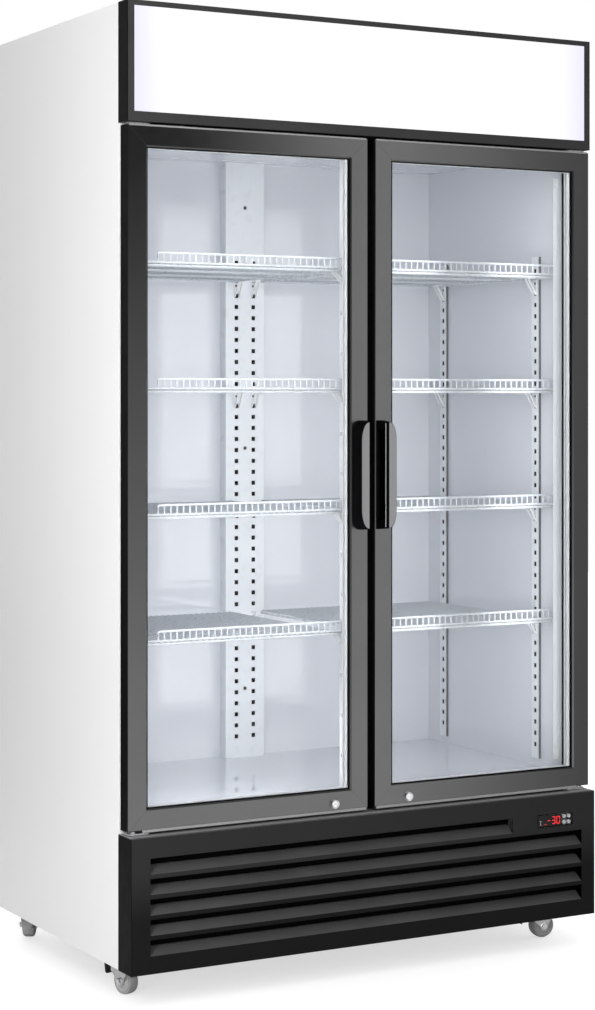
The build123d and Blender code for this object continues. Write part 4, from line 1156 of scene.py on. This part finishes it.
def controller():
    """Bezel with a dark window, red figures, small marks and the clip-in body."""
    low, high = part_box("controller")
    face = low.y
    front = low.y + 0.0025
    shape = Shape()
    rings = []
    steps = ((0.0025, 0, 0.003), (0.0008, 0, 0.003), (0.0002, 0.0006, 0.0025), (0, 0.0013, 0.002))
    for back, inset, r in steps:
        y = face + back
        outline = rounded(low.x + inset, high.x - inset, low.z + inset, high.z - inset, (r,) * 4, 6)
        rings.append([(x, y, z) for x, z in outline])
    shape.closed(rings[::-1])
    inner = 0.0035
    shape.box((low.x + inner, high.x - inner), (front, high.y), (low.z + 0.002, high.z - 0.002))
    case = shape.piece("control_case", [case_black], ["controller"])
    middle = (low.z + high.z) / 2
    window_x = (low.x + 0.003, low.x + 0.065)
    cut = Shape()
    window = rounded(*window_x, middle - 0.012, middle + 0.012, (0.0015,) * 4, 4)
    cut.prism(window, "y", (face - 0.002, face + 0.001))
    cut_from(case, cut, False)
    holes = Shape()
    for i in (1, 2, 3, 4):
        key_low, key_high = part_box(f"button_{i}")
        place = ((key_low.x + key_high.x) / 2, face - 0.001, (key_low.z + key_high.z) / 2)
        holes.lathe([(0.0047, 0), (0.0047, 0.0072)], place, (0, 1, 0), 32)
    cut_from(case, holes, False)
    pane = Shape()
    gap, half = 0.0001, 0.0119
    window = rounded(window_x[0] + gap, window_x[1] - gap, middle - half, middle + half, (0.0014,) * 4, 4)
    pane.prism(window, "y", (face + 0.0004, face + 0.001))
    pane.piece("control_window", [window_black])
    figures = Shape()
    y = face + 0.0001
    height, width = 0.0165, 0.0095
    x = low.x + 0.026
    for mark in "-30":
        digit(figures, mark, x, middle - height / 2, width, height, y)
        x += width * 1.32
    figures.piece("figures", [digit_red])
    thick = (y, y + figure_thick)
    marks = Shape()
    for i in range(3):
        x = low.x + 0.0175 + 0.0032 * i
        marks.box((x, x + 0.002), thick, (middle - 0.0085, middle - 0.0065))
    marks.piece("marks_red", [mark_red])
    icon = Shape()
    wide, thin = (0.0065, 0.0115), (0.0083, 0.0097)
    bars = ((wide, -0.0085, -0.0072), (thin, -0.0072, -0.0005), (wide, -0.0005, 0.0008))
    for (x0, x1), z0, z1 in bars:
        icon.box((low.x + x0, low.x + x1), thick, (middle + z0, middle + z1))
    icon.piece("marks_grey", [icon_grey])
    for i in (1, 2, 3, 4):
        key(i)


def key(number):
    """Round key with a domed, ringed face."""
    low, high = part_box(f"button_{number}")
    x, z = (low.x + high.x) / 2, (low.z + high.z) / 2
    r = (high.x - low.x) / 2
    shape = Shape()
    ridge = [(r - 0.0004, 0.0057), (r - 0.0010, 0.0059), (r - 0.0014, 0.0057)]
    dome = [(r - 0.0018, 0.00565), (r - 0.003, 0.00585), (0.0001, 0.0060)]
    shape.lathe([(r, 0), (r, 0.0052), *ridge, *dome], (x, high.y, z), forwards, 36)
    button = f"button_{number}"
    shape.piece(f"key_{number}", [key_grey], [button], button)


# Casters


def joint_of(body):
    """The joint that moves a body."""
    return next(joint for joint in frame["joints"] if joint["child"] == body)


def mirrored_profile(half):
    """Other half of a wheel's profile, in reverse."""
    return [(r, -t) for r, t in reversed(half)]


def wheel(place):
    """Grey tyre on a lighter hub with raised ribs and a bore ring."""
    body = f"wheel_{place}"
    roll = joint_of(body)
    centre, axis = roll["pos_m"], roll["axis"]
    tread = Shape()
    w = 0.012
    shoulder = [(0.0205, w - 0.0015), (0.0235, w), (0.0255, w - 0.0012)]
    half = shoulder + [(0.0265, w - 0.0035), (0.027, w - 0.007)]
    tread.tyre(half + [(0.027, 0.0)] + mirrored_profile(half), centre, axis, 56)
    tread.piece(f"tyre_{place}", [tyre_grey], [f"caster_wheel_{place}"], body)
    hub = Shape()
    bore = [(0.0041, w + 0.001), (0.0062, w + 0.0012), (0.0085, w + 0.0006), (0.0092, w - 0.002)]
    half = bore + [(0.0175, w - 0.0035), (0.0192, w - 0.0012), (0.0206, w - 0.0012)]
    hub.tyre(half + mirrored_profile(half), centre, axis, 48)
    hub.piece(f"hub_{place}", [hub_grey], body=body)


def fork_frame(place):
    """The fork's own frame: X towards the trail, Z up, origin under the kingpin."""
    pin, axle = (Vector(joint_of(f"{body}_{place}")["pos_m"]) for body in ("caster", "wheel"))
    trail = Vector((axle.x - pin.x, axle.y - pin.y, 0)).normalized()
    turn = Vector((1, 0, 0)).rotation_difference(trail)
    if trail.x < -0.999:
        turn = Matrix.Rotation(pi, 4, "Z").to_quaternion()
    return Matrix.Translation((pin.x, pin.y, 0)) @ turn.to_matrix().to_4x4()


def caster_details(place):
    """Raceway ring, cap rivet and axle washers of one caster."""
    matrix = fork_frame(place)
    raceway = Shape()
    lower = [(0.0175, 0.0591), (0.0222, 0.0591), (0.0235, 0.0600)]
    upper = [(0.0235, 0.0612), (0.0222, 0.0621), (0.0175, 0.0625)]
    raceway.tyre(lower + upper, (0, 0, 0), upwards, 48)
    raceway.move(matrix)
    raceway.piece(f"raceway_{place}", [zinc_bright])
    washers = Shape()
    axle = (0.018, 0, 0.027)
    washer = [(0.0045, 0.0161), (0.0078, 0.0161), (0.0078, 0.0169), (0.0045, 0.0169)]
    nut = [(0.0072, 0.0169), (0.0072, 0.0208), (0.0062, 0.0216), (0.0001, 0.0216)]
    for side in (left, right):
        washers.tyre(washer, axle, (0, side, 0), 32)
        washers.lathe(nut, axle, (0, side, 0), 6)
    washers.move(matrix)
    washers.piece(f"washers_{place}", [chrome], body=f"caster_{place}")
    bolts = Shape()
    bolt, spacing = [(0.0045, 0), (0.0045, 0.0028), (0.0038, 0.0034), (0.0001, 0.0036)], 0.0225
    for i in (left, right):
        for j in (left, right):
            bolts.lathe(bolt, (spacing * i, spacing * j, 0.063), (0, 0, -1), 6)
    pin = joint_of(f"caster_{place}")["pos_m"]
    bolts.move(Matrix.Translation((pin[0], pin[1], 0)))
    bolts.piece(f"plate_bolts_{place}", [zinc_bright], smooth=False)


def brake(place):
    """Pedal with a ribbed tread plate over the CAD pressing."""
    dress(f"caster_brake_{place}", black_plastic, edge_round)
    body = f"brake_{place}"
    matrix = fork_frame(place)
    low = Vector((0.018 + 0.033 * cos(pi / 4), 0, 0.027 + 0.033 * sin(pi / 4)))
    ribs = Shape()
    for i in range(5):
        x = 0.010 + 0.0042 * i
        ribs.wire([(x, -0.0085, 0.0014), (x, 0.0085, 0.0014)], 0.0007, sides=6)
    ribs.move(matrix @ Matrix.Translation(low) @ Matrix.Rotation(-radians(15), 4, "Y"))
    ribs.piece(f"pedal_ribs_{place}", [dark_steel], body=body)
    lip = Shape()
    outer = [(0.0655, 0.0560), (0.0705, 0.0585), (0.0745, 0.0575), (0.0765, 0.0540), (0.0740, 0.0360)]
    inner = [(0.0700, 0.0330), (0.0670, 0.0335), (0.0700, 0.0375), (0.0722, 0.0535), (0.0712, 0.0550)]
    lip.prism(outer + inner, "y", (-0.0110, 0.0110))
    lip.move(matrix)
    lip.piece(f"pedal_lip_{place}", [black_plastic], body=body, bevel=0.0006)


def build_casters():
    for place in caster_places:
        wheel(place)
        caster_details(place)
    for place in caster_places[:2]:
        brake(place)


# Base cover, screws and small trim on the cabinet


def base_cover_details():
    """Grey sill on the cover, notched for the lock tongues, its tone painted dark at the front edge and
    paler at the back as painted shade and light, and the near-black dust filter behind the louvres, which
    also stands for the shade in their gaps.
    """
    low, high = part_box("front_grille")
    sill = Shape()
    margin, thick = 0.001, 0.0012
    x0, x1, z = low.x + margin, high.x - margin, (high.z, high.z + thick)
    slot_y, slot_x = (-0.3115, -0.3055), (0.0835, 0.108)
    sill.box((x0, x1), (low.y + 0.0006, slot_y[0]), z)
    sill.box((x0, x1), (slot_y[1], high.y), z)
    for ends in ((x0, -slot_x[1]), (-slot_x[0], slot_x[0]), (slot_x[1], x1)):
        sill.box(ends, slot_y, z)
    sill.piece("cover_sill", [sill_light_and_shade])
    # Dust filter behind the louvres, near black so that it also stands as painted shade in their gaps.
    filter_and_shade = Shape()
    y, left_end, right_end, controller_end = (-0.3165, -0.3135), -0.5225, 0.5400, 0.350
    bottom, step, top = 0.094, 0.262, 0.330
    filter_and_shade.box((left_end, right_end), y, (bottom, step))
    filter_and_shade.box((left_end, controller_end), y, (step, top))
    filter_and_shade.piece("dust_filter_and_shade", [painted_shade_black])


def breaker_strips():
    """Pale strip round the doorway, between the black front and the chamber."""
    half = 0.518
    strips = Shape()
    strips.rim((-half, half), (-0.2805, -0.2690), (0.374, 1.712), 0.0005)
    strips.piece("breaker_strips", [strip_grey])


def screw(shape, spot, axis, radius):
    """Domed head of a screw or a rivet."""
    dome = [(radius * 0.8, 0.0013), (radius * 0.3, 0.0016), (0.0001, 0.0016)]
    shape.lathe([(radius, 0), (radius, 0.0004), *dome], spot, axis, 20)


def cabinet_screws():
    heads = Shape()
    for side in (left, right):
        for y, z in ((-0.297, 1.952), (-0.297, 1.813), (-0.306, 0.300), (-0.306, 0.120)):
            screw(heads, (side * 0.5598, y, z), (side, 0, 0), 0.0030)
    heads.piece("cover_screws", [dark_steel])
    rivets = Shape()
    for x in (-0.545, -0.27, 0.0, 0.27, 0.545):
        for z in (0.34, 0.80, 1.30, 1.75, 1.975):
            if abs(x) > 0.5 or z in (0.34, 1.975):
                screw(rivets, (x, 0.3554, z), (0, 1, 0), 0.0028)
    rivets.piece("back_rivets", [zinc_bright])


# Stage


def seen_rays(tree, strength):
    """A strength for the rays that show the white room, and none for those that light it."""
    rays = add(tree, "LightPath").outputs
    seen = combined(tree, "MAXIMUM", rays["Is Camera Ray"], rays["Is Transmission Ray"])
    return combined(tree, "MULTIPLY", seen, strength)


def mixed_shaders(tree, share, first, second):
    """Shader between two, by a share."""
    made = tree.nodes.new("ShaderNodeMixShader")
    for socket, value in zip(made.inputs, (share, first, second)):
        feed(tree, socket, value)
    return made.outputs["Shader"]


def emission(tree, strength):
    """White glow of some strength."""
    return add(tree, "Emission", Strength=strength).outputs["Emission"]


def stage_piece(name, boxes, made, gloss_only=True):
    """Piece of the stage made of boxes. One for gloss only lights nothing and isn't seen itself."""
    shape = Shape()
    for box in boxes:
        shape.box(*box)
    obj = shape.plain(name)
    obj.data.materials.append(made)
    if gloss_only:
        obj.visible_camera = False
        obj.visible_diffuse = False
        obj.visible_transmission = False
        obj.visible_shadow = False


def pale_floor():
    """Matt floor round the object, which turns into the white of the room further out."""
    made, tree = new_tree("floor_white")
    surface(tree, Base_Color=(0.9, 0.9, 0.9, 1), Roughness=0.9, Specular_IOR_Level=0.1)
    mirrored = add(tree, "LightPath").outputs["Is Glossy Ray"]
    strength = combined(tree, "MULTIPLY_ADD", mirrored, mirrored_floor, seen_rays(tree, floor_glow))
    length = tree.nodes.new("ShaderNodeVectorMath")
    length.operation = "LENGTH"
    feed(tree, length.inputs[0], placed(tree))
    reach = ramp(tree, length.outputs["Value"], (1.2, 2.6), (0.42, 1.0), smooth=True)
    matt = tree.nodes["Principled BSDF"].outputs["BSDF"]
    both = mixed_shaders(tree, reach, matt, emission(tree, strength))
    feed(tree, tree.nodes["Material Output"].inputs["Surface"], both)
    stage_piece("floor", [((-8, 8), (-8, 8), (-0.01, 0))], made, gloss_only=False)


def mirror_card():
    """Reflector in front of the doors: bright in the middle and low down."""
    made, tree = new_tree("mirror_card")
    x, z = coordinate(tree, "X"), coordinate(tree, "Z")
    level = ramp(tree, z, (0.28, 1.78), (1.0, 0.065))
    level = ramp(tree, z, (2.0, 2.12), (level, 1.3))
    level = ramp(tree, x, (-0.08, 0.34), (level, 1.0))
    level = ramp(tree, x, (0.42, 1.0), (level, 0.30))
    feed(tree, tree.nodes["Material Output"].inputs["Surface"], emission(tree, level))
    stage_piece("mirror_card", [((-1.1, 1.8), (-0.96, -0.95), (0.02, 2.6))], made)


def wall_cards():
    """Two tall reflectors in the right doorway, which show as pale panes on the back wall."""
    made, tree = new_tree("wall_cards")
    ahead = combined(tree, "SUBTRACT", 1, add(tree, "LayerWeight").outputs["Facing"])
    narrow = combined(tree, "POWER", ahead, 3)
    strength = combined(tree, "MULTIPLY", narrow, wall_card_strength)
    feed(tree, tree.nodes["Material Output"].inputs["Surface"], emission(tree, strength))
    boxes = [(x, (-0.2860, -0.2855), (0.42, 1.66)) for x in ((0.072, 0.205), (0.345, 0.475))]
    stage_piece("wall_cards", boxes, made)


def world():
    """White room: white where it is seen, even where it lights, dim where it mirrors."""
    made = bpy.data.worlds.new("world")
    bpy.context.scene.world = made
    made.use_nodes = True
    tree = made.node_tree
    tree.nodes.clear()
    white = (1, 1, 1, 1)
    lit_room, dim_room, seen_room = (
        add(tree, "Background", Color=white, Strength=strength).outputs["Background"]
        for strength in (world_light, mirrored_room, 1.0)
    )
    mirrored = add(tree, "LightPath").outputs["Is Glossy Ray"]
    total = mixed_shaders(tree, mirrored, lit_room, dim_room)
    total = mixed_shaders(tree, seen_rays(tree, 1.0), total, seen_room)
    add(tree, "OutputWorld", Surface=total)


def area_light(name, place, aim, size, power, colour=(1, 1, 1), mirrored=False):
    """Soft rectangular lamp that points at a spot and isn't seen itself."""
    data = bpy.data.lights.new(name, "AREA")
    data.shape = "RECTANGLE"
    data.size, data.size_y = size
    data.energy = power
    data.color = colour
    obj = bpy.data.objects.new(name, data)
    bpy.context.scene.collection.objects.link(obj)
    obj.location = place
    obj.rotation_euler = (Vector(aim) - Vector(place)).to_track_quat("-Z", "Y").to_euler()
    obj.visible_camera = False
    obj.visible_glossy = mirrored


def lights():
    area_light("front_light", (-1.3, -4.2, 2.4), (0, 0, 1.0), (2.5, 2.5), front_light_power)
    area_light("left_light", (-1.75, -1.35, 1.1), (-0.56, -0.1, 1.1), (0.4, 3.6), left_light_power)
    area_light("top_light", (0.3, 0.2, 4.6), (0, 0, 0), (3, 3), top_light_power)
    area_light("right_light", (3.2, -0.4, 1.6), (0.56, 0, 1.0), (2.0, 2.6), right_light_power)
    area_light("back_light", (0.3, 3.6, 1.8), (0, 0.36, 1.0), (3.0, 2.6), back_light_power, mirrored=True)
    cool = (0.955, 0.97, 1.0)
    y = -0.290
    for z, more in ((0.47, 2.0), (0.83, 1.3), (1.08, 1.0), (1.34, 0.88), (1.60, 1.4)):
        power = left_lamp_power * more
        spot, aim = (-0.27, y, z), (-0.27, 0.25, z)
        area_light(f"chamber_{round(z * 100)}", spot, aim, (0.44, 0.16), power, cool)
    for level in (1, 2, 3, 4):
        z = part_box(f"shelf_left_{level}")[1].z - guard_height / 2
        spot, aim = (-0.27, y, z), (-0.27, 0.25, z)
        area_light(f"guard_{level}", spot, aim, (0.44, 0.02), guard_lamp_power, cool)
    for x, wide in ((0.133, 0.146), (0.40, 0.12)):
        name = f"chamber_strip_{round(x * 100)}"
        area_light(name, (x, y, 1.07), (x, 0.25, 1.07), (wide, 1.25), right_strip_power, cool, mirrored=True)


def camera():
    data = bpy.data.cameras.new("camera")
    data.lens = camera_lens
    data.shift_y = camera_shift_y
    data.clip_end = 100
    obj = bpy.data.objects.new("camera", data)
    bpy.context.scene.collection.objects.link(obj)
    obj.location = camera_place
    obj.rotation_euler = (pi / 2, 0, radians(camera_yaw_degrees))
    bpy.context.scene.camera = obj


bpy.context.scene.view_settings.view_transform = "Standard"
dress_kept_nodes()
build_doors()
build_shelves()
build_lamps()
controller()
build_casters()
base_cover_details()
breaker_strips()
cabinet_screws()
pale_floor()
mirror_card()
wall_cards()
world()
lights()
camera()
